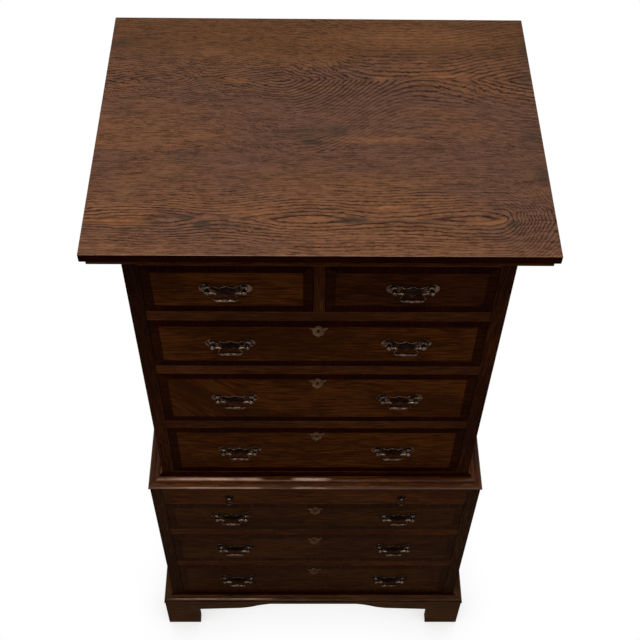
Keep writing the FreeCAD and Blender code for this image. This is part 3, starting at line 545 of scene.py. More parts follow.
@dataclass(frozen=True)
class TopOak:
    """The top's wide boards, with their tall arches of grain."""

    name: str = "waxed_oak_top"
    half_length: float = 0.381
    most_years: float = 20.0
    hearts: tuple[Heart, ...] = (
        Heart(0.121, (*LEFT_YEARS, (0.56, 0.50), (0.66, 0.92), (0.74, 0.97), (0.82, 0.90), (0.89, 0.76),
                      (1.0, 0.64)),
              (*LEFT_YEARS, (0.56, 0.46), (0.64, 0.52), (0.80, 0.52), (0.87, 0.42), (1.0, 0.20)),
              0.0054, 0.48, 0.3, 1.2),
        Heart(-0.214, ((0.0, 0.12), (0.10, 0.08), (0.20, 0.12), (0.27, 0.20), (0.36, 0.14),
                       (0.46, 0.05), (0.56, 0.10), (0.66, 0.16), (0.78, 0.08), (0.88, 0.08),
                       (0.93, 0.30), (1.0, 0.85)), (), 0.0056, 0.25, 1.6, 1.45),
    )
    smooth: Colour = (0.134, 0.0630, 0.0392)
    open: Colour = (0.0205, 0.0074, 0.0034)
    warm: Colour = (0.224, 0.0905, 0.0355)
    olive: Colour = (0.130, 0.0530, 0.0156)
    grey: Colour = (0.026, 0.0185, 0.0125)
    # How far the rings sway, waver and jag, along X and Y.
    bends: tuple[Point, ...] = ((0.03, 0.020), (0.016, 0.0075), (0.010, 0.0085))

    def years(self, recipe: Recipe, x: Value, y: Value) -> Value:
        """Rings counted from the nearer heart.

        Args:
            recipe: The material.
            x: Place along the boards.
            y: Place across them.

        Returns:
            The count.
        """
        counts = []
        for heart in self.hearts:
            across = y - heart.across
            along = x / (2 * self.half_length) + 0.5
            depth = recipe.ramp(along, heart.years, "B_SPLINE") * self.most_years
            if heart.far_years:
                beyond = recipe.ramp(along, heart.far_years, "B_SPLINE") * self.most_years
                depth = depth + (beyond - depth) * across.rise(-0.001, 0.003)
            reach = abs(across)
            spacing = along.rise(0.28, 0.50) * (heart.spread * heart.spacing) + heart.spacing
            wide = reach / spacing * (reach * heart.crowd + 1.0)
            counts.append((wide ** heart.bend + depth ** heart.bend) ** (1 / heart.bend))
        return reduce(Value.least, counts)

    def nearness(self, y: Value) -> Value:
        """1 beside a heart, where the rings lie plainest, and less away from it."""
        return reduce(Value.most, [abs(y - heart.across).rise(0.085, 0.012) for heart in self.hearts])

    @staticmethod
    def spots(recipe: Recipe, place: Value, spots: Sequence[Spot]) -> Value:
        """How strongly a set of spots shows.

        Args:
            recipe: The material.
            place: Coordinates, in metres.
            spots: The spots.

        Returns:
            The strength, from 0 to 1.
        """
        marks = []
        for spot in spots:
            offset = recipe.vectors("SUBTRACT", place, (spot.x * MM, spot.y * MM, 0.0))
            share = recipe.vectors("DIVIDE", offset, (spot.half_x * MM, spot.half_y * MM, 1.0))
            reach = recipe.vectors("LENGTH", share, output="Value")
            marks.append(reach.rise(1.15, 0.3) * spot.strength)
        return reduce(Value.most, marks)

    def make(self) -> bpy.types.Material:
        """The material."""
        recipe = Recipe(self.name)
        board = recipe.position()
        x, y, _ = recipe.parts(board)
        sway = recipe.noise(board, (5.0, 16.0, 1.0)) - 0.5
        waver = recipe.noise(board, (34.0, 60.0, 1.0), FINE, ROUGH) - 0.5
        calm = y.rise(-0.20, 0.02) * 0.65 + 0.35
        jags = (recipe.noise(board, (105.0, 120.0, 1.0), SOFT, ROUGH) - 0.5) * calm
        bent_x, bent_y = x, y
        for wander, (shift_x, shift_y) in zip((sway, waver, jags), self.bends):
            bent_x, bent_y = bent_x + wander * shift_x, bent_y + wander * shift_y
        rings = self.years(recipe, bent_x, bent_y).part()
        early = recipe.ramp(rings, ((0.0, 0.9), (0.08, 1.0), (0.21, 0.6), (0.36, 0.08), (0.91, 0.0),
                                    (1.0, 0.9)))
        late = recipe.ramp(rings, ((0.36, 0.0), (0.5, 1.0), (0.66, 0.0)))
        fibres = recipe.noise(board, (17.0, 330.0, 330.0), FINE, 0.62)
        dashes = recipe.noise(board, (60.0, 620.0, 620.0), SOFT, ROUGH)
        pores = dashes.rise(0.53, 0.66)
        flecks = recipe.noise(board, (64.0, 235.0, 1.0), FINE, 0.66).rise(0.45, 0.58)
        come_and_go = recipe.noise(board, (9.0, 34.0, 1.0), FINE, ROUGH).rise(0.36, 0.60)
        at_front = y.rise(-0.05, -0.16) * 0.12
        plain = self.nearness(y) * (0.58 - at_front) + 0.16 + come_and_go * 0.38
        lines = early * (dashes.rise(0.36, 0.56) * 0.35 + 0.65) * plain
        share = (lines + fibres.rise(0.34, 0.66) * 0.25 + flecks * 0.32 + pores * 0.12).least(1.0)
        broad = recipe.noise(board, (2.6, 9.0, 1.0), FINE)
        smear = recipe.vector((x + waver * 0.045, y + waver * 0.016 + jags * 0.008, 0.0))
        stain = self.spots(recipe, smear, STAINS)
        worn = self.spots(recipe, smear, WORN_PLACES)
        colour = recipe.mix(broad.rise(0.38, 0.62) * 0.6, self.smooth, self.warm)
        colour = recipe.mix((y + sway * 0.05).rise(0.150, 0.205) * 0.75, colour, self.olive)
        colour = recipe.mix((y + sway * 0.10).rise(-0.185, -0.110) * 0.14, colour, self.open)
        colour = recipe.mix((late * 0.35 + worn).least(1.0), colour, self.warm)
        colour = recipe.mix(share * (1.0 - worn * 0.45), colour, self.open)
        colour = recipe.mix(stain * (0.55 + fibres * 0.5), colour, self.grey)
        height = 1.0 - pores * 0.5 - lines * 0.45
        return recipe.surface(Base_Color=colour, Roughness=0.46 + pores * 0.2 + stain * 0.06,
                              Normal=recipe.bump(height, 0.0004, 0.6), Specular_IOR_Level=0.06)


@dataclass(frozen=True)
class AgedBrass:
    """Lacquered brass gone brown, a little brighter where it is rubbed."""

    name: str
    tarnish: Colour
    wear_and_sheen: Colour
    roughness: float = 0.36
    handles: float = 0.0      # how far left and right the plates lie that are dull between their posts
    tint: Colour = (0.30, 0.18, 0.11)         # of its reflections at a low angle

    def make(self) -> bpy.types.Material:
        """The material."""
        recipe = Recipe(self.name)
        place = recipe.position()
        specks = recipe.noise(place, (1400.0,) * 3)
        share = recipe.noise(place, (160.0,) * 3, FINE, ROUGH).rise(0.36, 0.68)
        if self.handles:
            handled = abs(abs(recipe.parts(place)[0]) - self.handles).rise(0.013, 0.023)
            share = share * (handled * 0.75 + 0.25)
        return recipe.surface(Base_Color=recipe.mix(share, self.tarnish, self.wear_and_sheen), Metallic=0.95,
                              Normal=recipe.bump(specks, 0.00004, 0.3), Specular_IOR_Level=0.1,
                              Roughness=self.roughness + specks * 0.1 - share * 0.08,
                              Specular_Tint=self.tint)


@dataclass(frozen=True)
class DarkIron:
    """Blued screws, with a little rust."""

    name: str = "dark_iron"
    blued: Colour = (0.055, 0.052, 0.050)
    rusty: Colour = (0.085, 0.048, 0.028)

    def make(self) -> bpy.types.Material:
        """The material."""
        recipe = Recipe(self.name)
        rust = recipe.noise(recipe.position(), (220.0,) * 3, FINE, ROUGH)
        colour = recipe.mix(rust.rise(0.45, 0.75), self.blued, self.rusty)
        return recipe.surface(Base_Color=colour, Metallic=0.8, Roughness=0.42 + rust * 0.2)


Finish = Union[Oak, PaintedHighlightOak, DrawerOak, BoxOak, TopOak, AgedBrass, DarkIron]
_made: dict[Finish, bpy.types.Material] = {}


def material(finish: Finish) -> bpy.types.Material:
    """The finish's material, made once."""
    if finish not in _made:
        _made[finish] = finish.make()
    return _made[finish]


class Stained(NamedTuple):
    """Oak of one stain for boards that run left to right, front to back and upright."""

    across: Oak
    deep: Oak
    upright: Oak


def stained(name: str, tones: Tones, **looks: float) -> Stained:
    """Oak of one stain, each way.

    Args:
        name: What its names start with.
        tones: The stain.
        looks: The oak's other settings.

    Returns:
        The three finishes.
    """
    ways = zip(("across", "front_to_back", "upright"), Grain)
    return Stained(*(Oak(f"{name}_{way}", tones, grain, **looks) for way, grain in ways))


CASE = stained("case_oak", CASE_TONES)
WAIST = stained("waist_oak", WAIST_TONES, gloss=0.08, roughness=0.16)
BASE = stained("base_oak", BASE_TONES)
SKIRT = stained("base_moulding_oak", BASE_TONES, gloss=0.03, roughness=0.2)
INSIDE = stained("inside_oak", INSIDE_TONES, gloss=0.2, roughness=0.6)
RAW = stained("back_oak", BACK_TONES, gloss=0.15, roughness=0.65)
BACK_UPRIGHT = replace(RAW.upright, plank=0.155)
LOW_BACK_UPRIGHT = replace(RAW.upright, name="low_back_oak_upright", plank=0.1685)
# The upper stiles take painted shade towards the cornice.
STILE_UPRIGHT = Oak("stile_oak_upright", STILE_TONES, Grain.UPRIGHT, shaded_top=(0.80, 1.20))
LOW_STILE_UPRIGHT = Oak("low_stile_oak_upright", LOW_STILE_TONES, Grain.UPRIGHT)
# Painted shade: the lower case's lowest rail and the inner edge of the base moulding, near black as in
# shadow.
FOOT_RAIL_SHADE = Oak("foot_rail_painted_shade_oak", BAND_TONES)
WAIST_MATT = Oak("waist_oak_unpolished", WAIST_TONES)
# Painted shade: the waist moulding's top lip, against the upper case, in the near-black banding tones.
WAIST_LIP_SHADE = Oak("waist_lip_painted_shade_oak", BAND_TONES)
SKIRT_MATT = Oak("base_oak_unpolished", BASE_TONES)
SKIRT_SHADE = Oak("base_moulding_hollow_oak", LOW_BAND_TONES)
# Painted highlights on the crests of the waist and base mouldings, brightest towards their left ends.
WAIST_HIGHLIGHT_STRETCHES = ((-0.372, -0.25, -0.135, -0.105), (-0.056, -0.040, 0.010, 0.040))
WAIST_CREST_HIGHLIGHT = PaintedHighlightOak("waist_crest_painted_highlight_oak", WAIST_TONES, WAIST_HIGHLIGHT_STRETCHES)
WAIST_BEAD_HIGHLIGHT = PaintedHighlightOak("waist_bead_painted_highlight_oak", WAIST_TONES, WAIST_HIGHLIGHT_STRETCHES, BEAD_HIGHLIGHT_TONES)
BASE_CREST_HIGHLIGHT = PaintedHighlightOak("base_crest_painted_highlight_oak", BASE_TONES, ((-0.37, -0.33, -0.16, -0.07),), gloss=0.2)
EDGE_WEAR_AND_SHEEN = Oak("edge_wear_and_sheen_oak", EDGE_WEAR_AND_SHEEN_TONES, gloss=0.03, roughness=0.35)
TOP_EDGE = Oak("top_edge_oak", BAND_TONES)
FRONT_ARRIS_HIGHLIGHT = Oak("top_arris_painted_highlight_oak", ARRIS_HIGHLIGHT_TONES)
PLATE_BRASS = AgedBrass("brown_brass", (0.012, 0.0070, 0.0054), (0.115, 0.0700, 0.0510),
                        handles=UPPER_HANDLE)
DIM_PLATE_BRASS = AgedBrass("dim_brown_brass", (0.009, 0.0052, 0.0042), (0.062, 0.0380, 0.0290),
                            handles=LOWER_HANDLE)
RIM_BRASS = AgedBrass("rim_brass", (0.052, 0.033, 0.024), (0.120, 0.080, 0.058), 0.30)
# Painted highlight for the middle of a backplate's top border.
CREST_HIGHLIGHT_BRASS = AgedBrass("crest_highlight_brass", (0.150, 0.102, 0.074), (0.320, 0.225, 0.165), 0.26)
POST_BRASS = AgedBrass("post_brass", (0.030, 0.020, 0.015), (0.128, 0.096, 0.073), 0.10)
BAIL_BRASS = AgedBrass("bail_brass", (0.014, 0.0076, 0.0050), (0.055, 0.034, 0.023), 0.20)
# Brighter brass for the bails' arms and grips: part wear, part painted highlight.
GRIP_WEAR_AND_SHEEN_BRASS = AgedBrass("bail_wear_and_sheen_brass", (0.050, 0.033, 0.024), (0.170, 0.120, 0.088), 0.15)
KEY_BRASS = AgedBrass("key_plate_brass", (0.055, 0.033, 0.020), (0.105, 0.067, 0.043), 0.42)
IRON = DarkIron()


# ---------------------------------------------------------------- making meshes
@dataclass
class Piece:
    """One piece of the scene: a mesh in the making and the finishes on its faces."""

    name: str
    body: str
    slot: str
    stands_for: tuple[str, ...]
    finishes: list[Finish] = field(default_factory=list)
    mesh: bmesh.types.BMesh = field(default_factory=bmesh.new)

    def paint(self, faces: Iterable[bmesh.types.BMFace], finish: Finish) -> None:
        """Give faces a finish.

        Args:
            faces: The faces.
            finish: Their finish.
        """
        if finish not in self.finishes:
            self.finishes.append(finish)
        number = self.finishes.index(finish)
        for face in faces:
            face.material_index = number

    def fresh(self, others: set[bmesh.types.BMFace]) -> Faces:
        """The faces that aren't among others."""
        return [face for face in self.mesh.faces if face not in others]

    @contextmanager
    def painted(self, finish: Finish) -> Iterator[set[bmesh.types.BMFace]]:
        """Give the faces that are made meanwhile a finish, and hand over the ones made before.

        Args:
            finish: Their finish.

        Returns:
            The faces made before.
        """
        others = set(self.mesh.faces)
        yield others
        self.paint(self.fresh(others), finish)

    def ring(self, places: Iterable[Sequence[float]]) -> Edges:
        """Add the edges of a closed outline through places."""
        dots = [self.mesh.verts.new(place) for place in places]
        return [self.mesh.edges.new((dots[i - 1], dots[i])) for i in range(len(dots))]

    def board(self, low: Sequence[float], high: Sequence[float], finish: Finish, ease: float = 0.0,
              worn: Optional[Finish] = None) -> Faces:
        """Add a board with eased edges.

        Args:
            low: Lowest corner.
            high: Highest corner.
            finish: Its finish.
            ease: Width of the rounding on its edges.
            worn: Finish of the rounding, if it isn't the board's own.

        Returns:
            The board's faces.
        """
        middle = (Vector(low) + Vector(high)) / 2
        size = Vector(high) - Vector(low)
        place = Matrix.Translation(middle) @ Matrix.Diagonal((*size, 1.0))
        with self.painted(finish) as others:
            made = bmesh.ops.create_cube(self.mesh, size=1.0, matrix=place)
            edges = {edge for corner in made["verts"] for edge in corner.link_edges}
            arrises = bevel(self.mesh, edges, ease) if ease else []
        if worn:
            self.paint(arrises, worn)
        return self.fresh(others)

    def pair(self, reach: Point, low: Point, high: Point, finish: Finish, ease: float) -> None:
        """Add a board left of the middle and one like it on the right.

        Args:
            reach: How far from the middle each lies, one side and the other.
            low: Lowest Y and Z.
            high: Highest Y and Z.
            finish: Their finish.
            ease: Width of the rounding on their edges.
        """
        for side in SIDES:
            start, end = sorted(side * out for out in reach)
            self.board((start, *low), (end, *high), finish, ease)

    def fret(self, outline: Sequence[Point], axis: int, low: float, high: float, finish: Finish,
             ease: float, cuts: Sequence[tuple[Vector, Vector]] = ()) -> None:
        """Add a board sawn to an outline.

        Args:
            outline: Its outline across the axis, in the order of the two other axes.
            axis: The axis that it is thick along, 0 or 1.
            low: Where its thickness starts.
            high: Where its thickness ends.
            finish: Its finish.
            ease: Width of the rounding on its edges.
            cuts: (point, direction) of planes that it is cut off past.
        """
        shift = Vector((0, high - low, 0)) if axis else Vector((high - low, 0, 0))
        with self.painted(finish) as others:
            dots = [self.mesh.verts.new((a, low, z) if axis else (low, a, z)) for a, z in outline]
            made = bmesh.ops.extrude_face_region(self.mesh, geom=[self.mesh.faces.new(dots)])
            bmesh.ops.translate(self.mesh, verts=only(made["geom"], bmesh.types.BMVert), vec=shift)
            for point, direction in cuts:
                faces = self.fresh(others)
                parts = list({part for face in faces for part in (*face.verts, *face.edges)}) + faces
                cut = bmesh.ops.bisect_plane(self.mesh, geom=parts, dist=MERGE, plane_co=point,
                                             plane_no=direction, clear_outer=True)
                rim = only(cut["geom_cut"], bmesh.types.BMEdge)
                bmesh.ops.contextual_create(self.mesh, geom=rim)
            self.mesh.normal_update()
            edges = {edge for face in self.fresh(others) for edge in face.edges
                     if edge.is_manifold and edge.calc_face_angle() > FACET}
            bevel(self.mesh, edges, ease)

    def turn(self, outline: Sequence[Point], origin: Vector, axis: Vector, finish: Finish,
             steps: int = 20) -> None:
        """Add a turned part.

        Args:
            outline: (distance along the axis, radius) pairs in millimetres, from end to end.
            origin: Where the axis starts.
            axis: Which way it runs.
            finish: Its finish.
            steps: Facets round it.
        """
        across = axis.orthogonal().normalized()
        with self.painted(finish) as others:
            dots = [self.mesh.verts.new(origin + axis * (along * MM) + across * (radius * MM))
                    for along, radius in outline]
            lines = [self.mesh.edges.new(pair) for pair in zip(dots, dots[1:])]
            bmesh.ops.spin(self.mesh, geom=dots + lines, cent=origin, axis=axis, dvec=(0, 0, 0),
                           angle=math.tau, steps=steps, use_merge=True)
            corners = list({corner for face in self.fresh(others) for corner in face.verts})
            bmesh.ops.remove_doubles(self.mesh, verts=corners, dist=MERGE)

    def sweep(self, path: Sequence[Vector], radii: Sequence[float], finish: Finish,
              closed: bool = False, steps: int = 12) -> None:
        """Add a round bar along a path in the plane of X and Z.

        Args:
            path: The bar's middle line.
            radii: Its radius at each point, in millimetres.
            finish: Its finish.
            closed: Whether it comes back to its start.
            steps: Facets round it.
        """
        count = len(path)
        rings = []
        with self.painted(finish):
            for i, point in enumerate(path):
                before = path[(i - 1) % count] if closed or i else point
                after = path[(i + 1) % count] if closed or i < count - 1 else point
                forward = (after - before).normalized()
                side = forward.cross(INWARDS).normalized()
                turn = Matrix((side, INWARDS, forward)).transposed().to_4x4()
                ring = bmesh.ops.create_circle(self.mesh, segments=steps, radius=radii[i] * MM,
                                               cap_ends=False,
                                               matrix=Matrix.Translation(point) @ turn)
                rings.append(list({edge for dot in ring["verts"] for edge in dot.link_edges}))
            for first, second in zip(rings, rings[1:] + rings[:1] if closed else rings[1:]):
                bmesh.ops.bridge_loops(self.mesh, edges=first + second)
            for ring in () if closed else (rings[0], rings[-1]):
                bmesh.ops.contextual_create(self.mesh, geom=ring)

    def cut_plate(self, outer: Sequence[Point], holes: Sequence[Sequence[Point]], back: float,
                  thick: float, ground: Finish, edge: Finish, rim: float, sink: float,
                  ease: float) -> Faces:
        """Add a plate that lies flat on a front, with a raised border.

        Args:
            outer: Its outline in X and Z.
            holes: Outlines of the holes through it.
            back: Y of its back.
            thick: Thickness, towards -Y, in millimetres.
            ground: Finish of its ground.
            edge: Finish of its border and edges.
            rim: Width of the raised border, in millimetres.
            sink: How far the ground inside it lies back, in millimetres.
            ease: Rounding of its front edges, in millimetres.

        Returns:
            The faces of its border and edges.
        """
        others = set(self.mesh.faces)
        edges = []
        for line in (outer, *holes):
            edges += self.ring((x, back - thick * MM, z) for x, z in line)
        bmesh.ops.triangle_fill(self.mesh, edges=edges, use_beauty=True)
        face_up(self.mesh, others)
        front = self.fresh(others)
        bmesh.ops.inset_region(self.mesh, faces=front, thickness=rim * MM, depth=0.0,
                               use_boundary=True, use_even_offset=False)
        inner = {dot for face in front for dot in face.verts}
        bmesh.ops.translate(self.mesh, verts=list(inner), vec=(0, sink * MM, 0))
        top = self.fresh(others)
        border = [side for side in {side for face in top for side in face.edges}
                  if sum(face in top for face in side.link_faces) == 1]
        made = bmesh.ops.extrude_edge_only(self.mesh, edges=border)
        for dot in only(made["geom"], bmesh.types.BMVert):
            dot.co.y = back
        bevel(self.mesh, border, ease * MM, 3)
        flat = {face for face in front if face.is_valid}
        self.paint(flat, ground)
        rest = self.fresh(others | flat)
        self.paint(rest, edge)
        return rest

    def finish_off(self, smooth: bool = True) -> None:
        """Close the mesh, put it in the scene, hang it on what it rides on, and hide the nodes that it
        stands for.

        Args:
            smooth: Whether its curved faces are shaded as one surface.
        """
        bmesh.ops.recalc_face_normals(self.mesh, faces=self.mesh.faces)
        data = bpy.data.meshes.new(self.name)
        self.mesh.to_mesh(data)
        self.mesh.free()
        for finish in self.finishes:
            data.materials.append(material(finish))
        if smooth:
            data.shade_smooth()
            data.set_sharp_from_angle(angle=FACET)
        piece = place_in_scene(self.name, data)
        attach(piece, self.body)
        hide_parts(*self.stands_for)
        log.info("%s: %d faces, rides on %s", self.name, len(data.polygons), self.body)


def place_in_scene(name: str, data: bpy.types.ID) -> bpy.types.Object:
    """Put a new object in the scene.

    Args:
        name: Its name.
        data: Its mesh, lamp or camera.

    Returns:
        The object.
    """
    made = bpy.data.objects.new(name, data)
    bpy.context.scene.collection.objects.link(made)
    return made


def only(parts: Iterable[object], kind: type) -> list:
    """The parts of one kind."""
    return [part for part in parts if isinstance(part, kind)]


def bevel(mesh: bmesh.types.BMesh, edges: Iterable[bmesh.types.BMEdge], width: float,
          segments: int = 2) -> Faces:
    """Round edges over.

    Args:
        mesh: The mesh.
        edges: Its edges to round.
        width: Width of the rounding.
        segments: Facets across it.

    Returns:
        The faces of the rounding.
    """
    made = bmesh.ops.bevel(mesh, geom=list(edges), offset=width, offset_type="OFFSET",
                           segments=segments, profile=0.5, affect="EDGES", clamp_overlap=True,
                           material=-1)
    return made["faces"]


def face_up(mesh: bmesh.types.BMesh, others: set[bmesh.types.BMFace]) -> None:
    """Turn new faces towards -Y.

    Args:
        mesh: The mesh.
        others: The faces that aren't new.
    """
    mesh.normal_update()
    wrong = [face for face in mesh.faces if face not in others and face.normal.y > 0]
    bmesh.ops.reverse_faces(mesh, faces=wrong)


def arc(middle: Point, radius: float, first: float, last: float, steps: int) -> list[Point]:
    """Points on an arc.

    Args:
        middle: Its middle.
        radius: Its radius.
        first: Angle of its start, in degrees.
        last: Angle of its end.
        steps: Points after the first.

    Returns:
        The points.
    """
    turns = [math.radians(first + (last - first) * i / steps) for i in range(steps + 1)]
    return [(middle[0] + radius * math.cos(turn), middle[1] + radius * math.sin(turn))
            for turn in turns]


def mirrored(right: Sequence[Point]) -> list[Point]:
    """A whole outline from its right half, first and last points on the middle line."""
    return list(right) + [(-x, z) for x, z in reversed(right[1:-1])]


class Seat(NamedTuple):
    """Where brasswork sits on a front: its middle, and Y of the front."""

    x: float
    z: float
    front: float

    def at(self, x: float = 0.0, z: float = 0.0, out: float = 0.0) -> Vector:
        """A place beside the middle and out from the front, in millimetres."""
        return Vector((self.x + x * MM, self.front - out * MM, self.z + z * MM))

    def laid(self, line: Sequence[Point]) -> list[Point]:
        """An outline in millimetres, laid about the middle."""
        return [(x * MM + self.x, z * MM + self.z) for x, z in line]


def dress(finish: Finish, *nodes: str) -> None:
    """Give nodes of the frame a material."""
    for node in nodes:
        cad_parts[node].material_slots[0].material = material(finish)


# ---------------------------------------------------------------- carcase
@dataclass
class TopBoard:
    """The wide top, its edges softened by wear."""

    ease: float = 0.0016

    def build(self) -> None:
        """Make it."""
        low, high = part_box("top_board")
        piece = Piece("top_boards", "case", "top_oak", ("top_board",))
        faces = piece.board(low, high, TopOak(), self.ease)
        piece.mesh.normal_update()
        piece.paint((face for face in faces if face.normal.z < 0.5), TOP_EDGE)
        # Painted highlight: the upward part of the front edge's rounding takes a pale oak.
        piece.paint((face for face in faces if 0.5 < face.normal.z < 0.98 and face.normal.y < -0.1),
                    FRONT_ARRIS_HIGHLIGHT)
        piece.finish_off(smooth=False)


@dataclass
class Moulding:
    """A moulding round the front and both sides, mitred at the front corners."""

    name: str
    node: str
    half: float               # half the width of the case that it lies on
    front: float              # Y of that case's front
    oak: Stained
    reach: float              # how far it stands out from the case
    foot: float               # Z of its foot
    height: float
    profile: tuple[tuple[float, ...], ...]    # shares out and up: a corner, or an arc's middle and end
    # Parts of the front length with a finish of their own: from and to, shares out and up.
    parts: tuple[tuple[float, float, float, float, Finish], ...] = ()
    steps: int = 7

    def line(self) -> list[Point]:
        """Its section: out from the case, and up."""
        points: list[Point] = []
        for stop in self.profile:
            corner = len(stop) == 2
            points += [stop] if corner else three_point_arc(points[-1], stop[:2], stop[2:], self.steps)
        return [(out * self.reach, self.foot + up * self.height) for out, up in points]

    def build(self) -> None:
        """Make it."""
        piece = Piece(self.name, "case", "case_oak", (self.node,))
        stations = [piece.ring((side * (self.half + out), self.front - out if mitred else BACK, z)
                               for out, z in self.line())
                    for side, mitred in ((-1, False), (-1, True), (1, True), (1, False))]
        for i, (first, second) in enumerate(zip(stations, stations[1:])):
            with piece.painted(self.oak.across if i == 1 else self.oak.deep) as others:
                bmesh.ops.bridge_loops(piece.mesh, edges=first + second)
            if i == 1:
                self.pick_out(piece, piece.fresh(others))
        for ring in (stations[0], stations[-1]):
            with piece.painted(self.oak.deep):
                bmesh.ops.contextual_create(piece.mesh, geom=ring)
        piece.finish_off()

    def pick_out(self, piece: Piece, faces: Faces) -> None:
        """Give the named parts of the front length their own finishes.

        Args:
            piece: The moulding.
            faces: The faces of its front length.
        """
        for face in faces:
            middle = face.calc_center_median()
            out = (self.front - middle.y) / self.reach
            up = (middle.z - self.foot) / self.height
            for low_out, high_out, low_up, high_up, finish in self.parts:
                if low_out < out < high_out and low_up < up < high_up:
                    piece.paint([face], finish)


def three_point_arc(start: Point, middle: Point, end: Point, steps: int) -> list[Point]:
    """Points on the arc through three points.

    Args:
        start: Its start, which isn't among the points given back.
        middle: A point on it.
        end: Its end.
        steps: How many points.

    Returns:
        The points.
    """
    a, b, c = Vector(start), Vector(middle), Vector(end)
    span = c - a
    ahead = b - a
    twice = 2 * (span.x * ahead.y - span.y * ahead.x)
    lift_x = (ahead.y * span.length_squared - span.y * ahead.length_squared) / twice
    lift_y = (span.x * ahead.length_squared - ahead.x * span.length_squared) / twice
    centre = a + Vector((lift_x, lift_y))
    first = math.atan2(a.y - centre.y, a.x - centre.x)
    turns = [math.atan2(p.y - centre.y, p.x - centre.x) - first for p in (b, c)]
    way = 1 if (turns[0] % math.tau) < (turns[1] % math.tau) else -1
    sweep = (way * turns[1]) % math.tau * way
    radius = (a - centre).length
    return [(centre.x + radius * math.cos(first + sweep * i / steps),
             centre.y + radius * math.sin(first + sweep * i / steps)) for i in range(1, steps + 1)]


@dataclass
class FrontFrame:
    """Stiles and rails of one case."""

    name: str
    node: str
    half: float
    mouth: float
    front: float
    levels: tuple[float, ...]         # Z of each rail's foot and top, in turn
    muntin: Optional[tuple[float, float, float]] = None     # half its width, and its foot and top
    stile: Finish = STILE_UPRIGHT
    foot_rail: Finish = CASE.across
    stile_thick: float = 0.020
    rail_depth: float = 0.060
    ease: float = 0.0006

    def build(self) -> None:
        """Make them."""
        piece = Piece(self.name, "case", "case_oak", (self.node,))
        foot, top = self.levels[0], self.levels[-1]
        piece.pair((self.mouth, self.half), (self.front, foot), (self.front + self.stile_thick, top),
                   self.stile, self.ease)
        behind = self.front + self.rail_depth
        for low, high in zip(self.levels[::2], self.levels[1::2]):
            faces = piece.board((-self.mouth, self.front, low), (self.mouth, behind, high),
                                self.foot_rail if low == foot else CASE.across, self.ease)
            # Wear and painted highlight on the upward front arrises of the rails above the lowest.
            if low > foot:
                piece.mesh.normal_update()
                piece.paint((face for face in faces if face.normal.y < -0.2 and face.normal.z > 0.2),
                            EDGE_WEAR_AND_SHEEN)
        if self.muntin:
            half, low, high = self.muntin
            piece.board((-half, self.front, low), (half, behind, high), CASE.upright, self.ease)
        piece.finish_off(smooth=False)


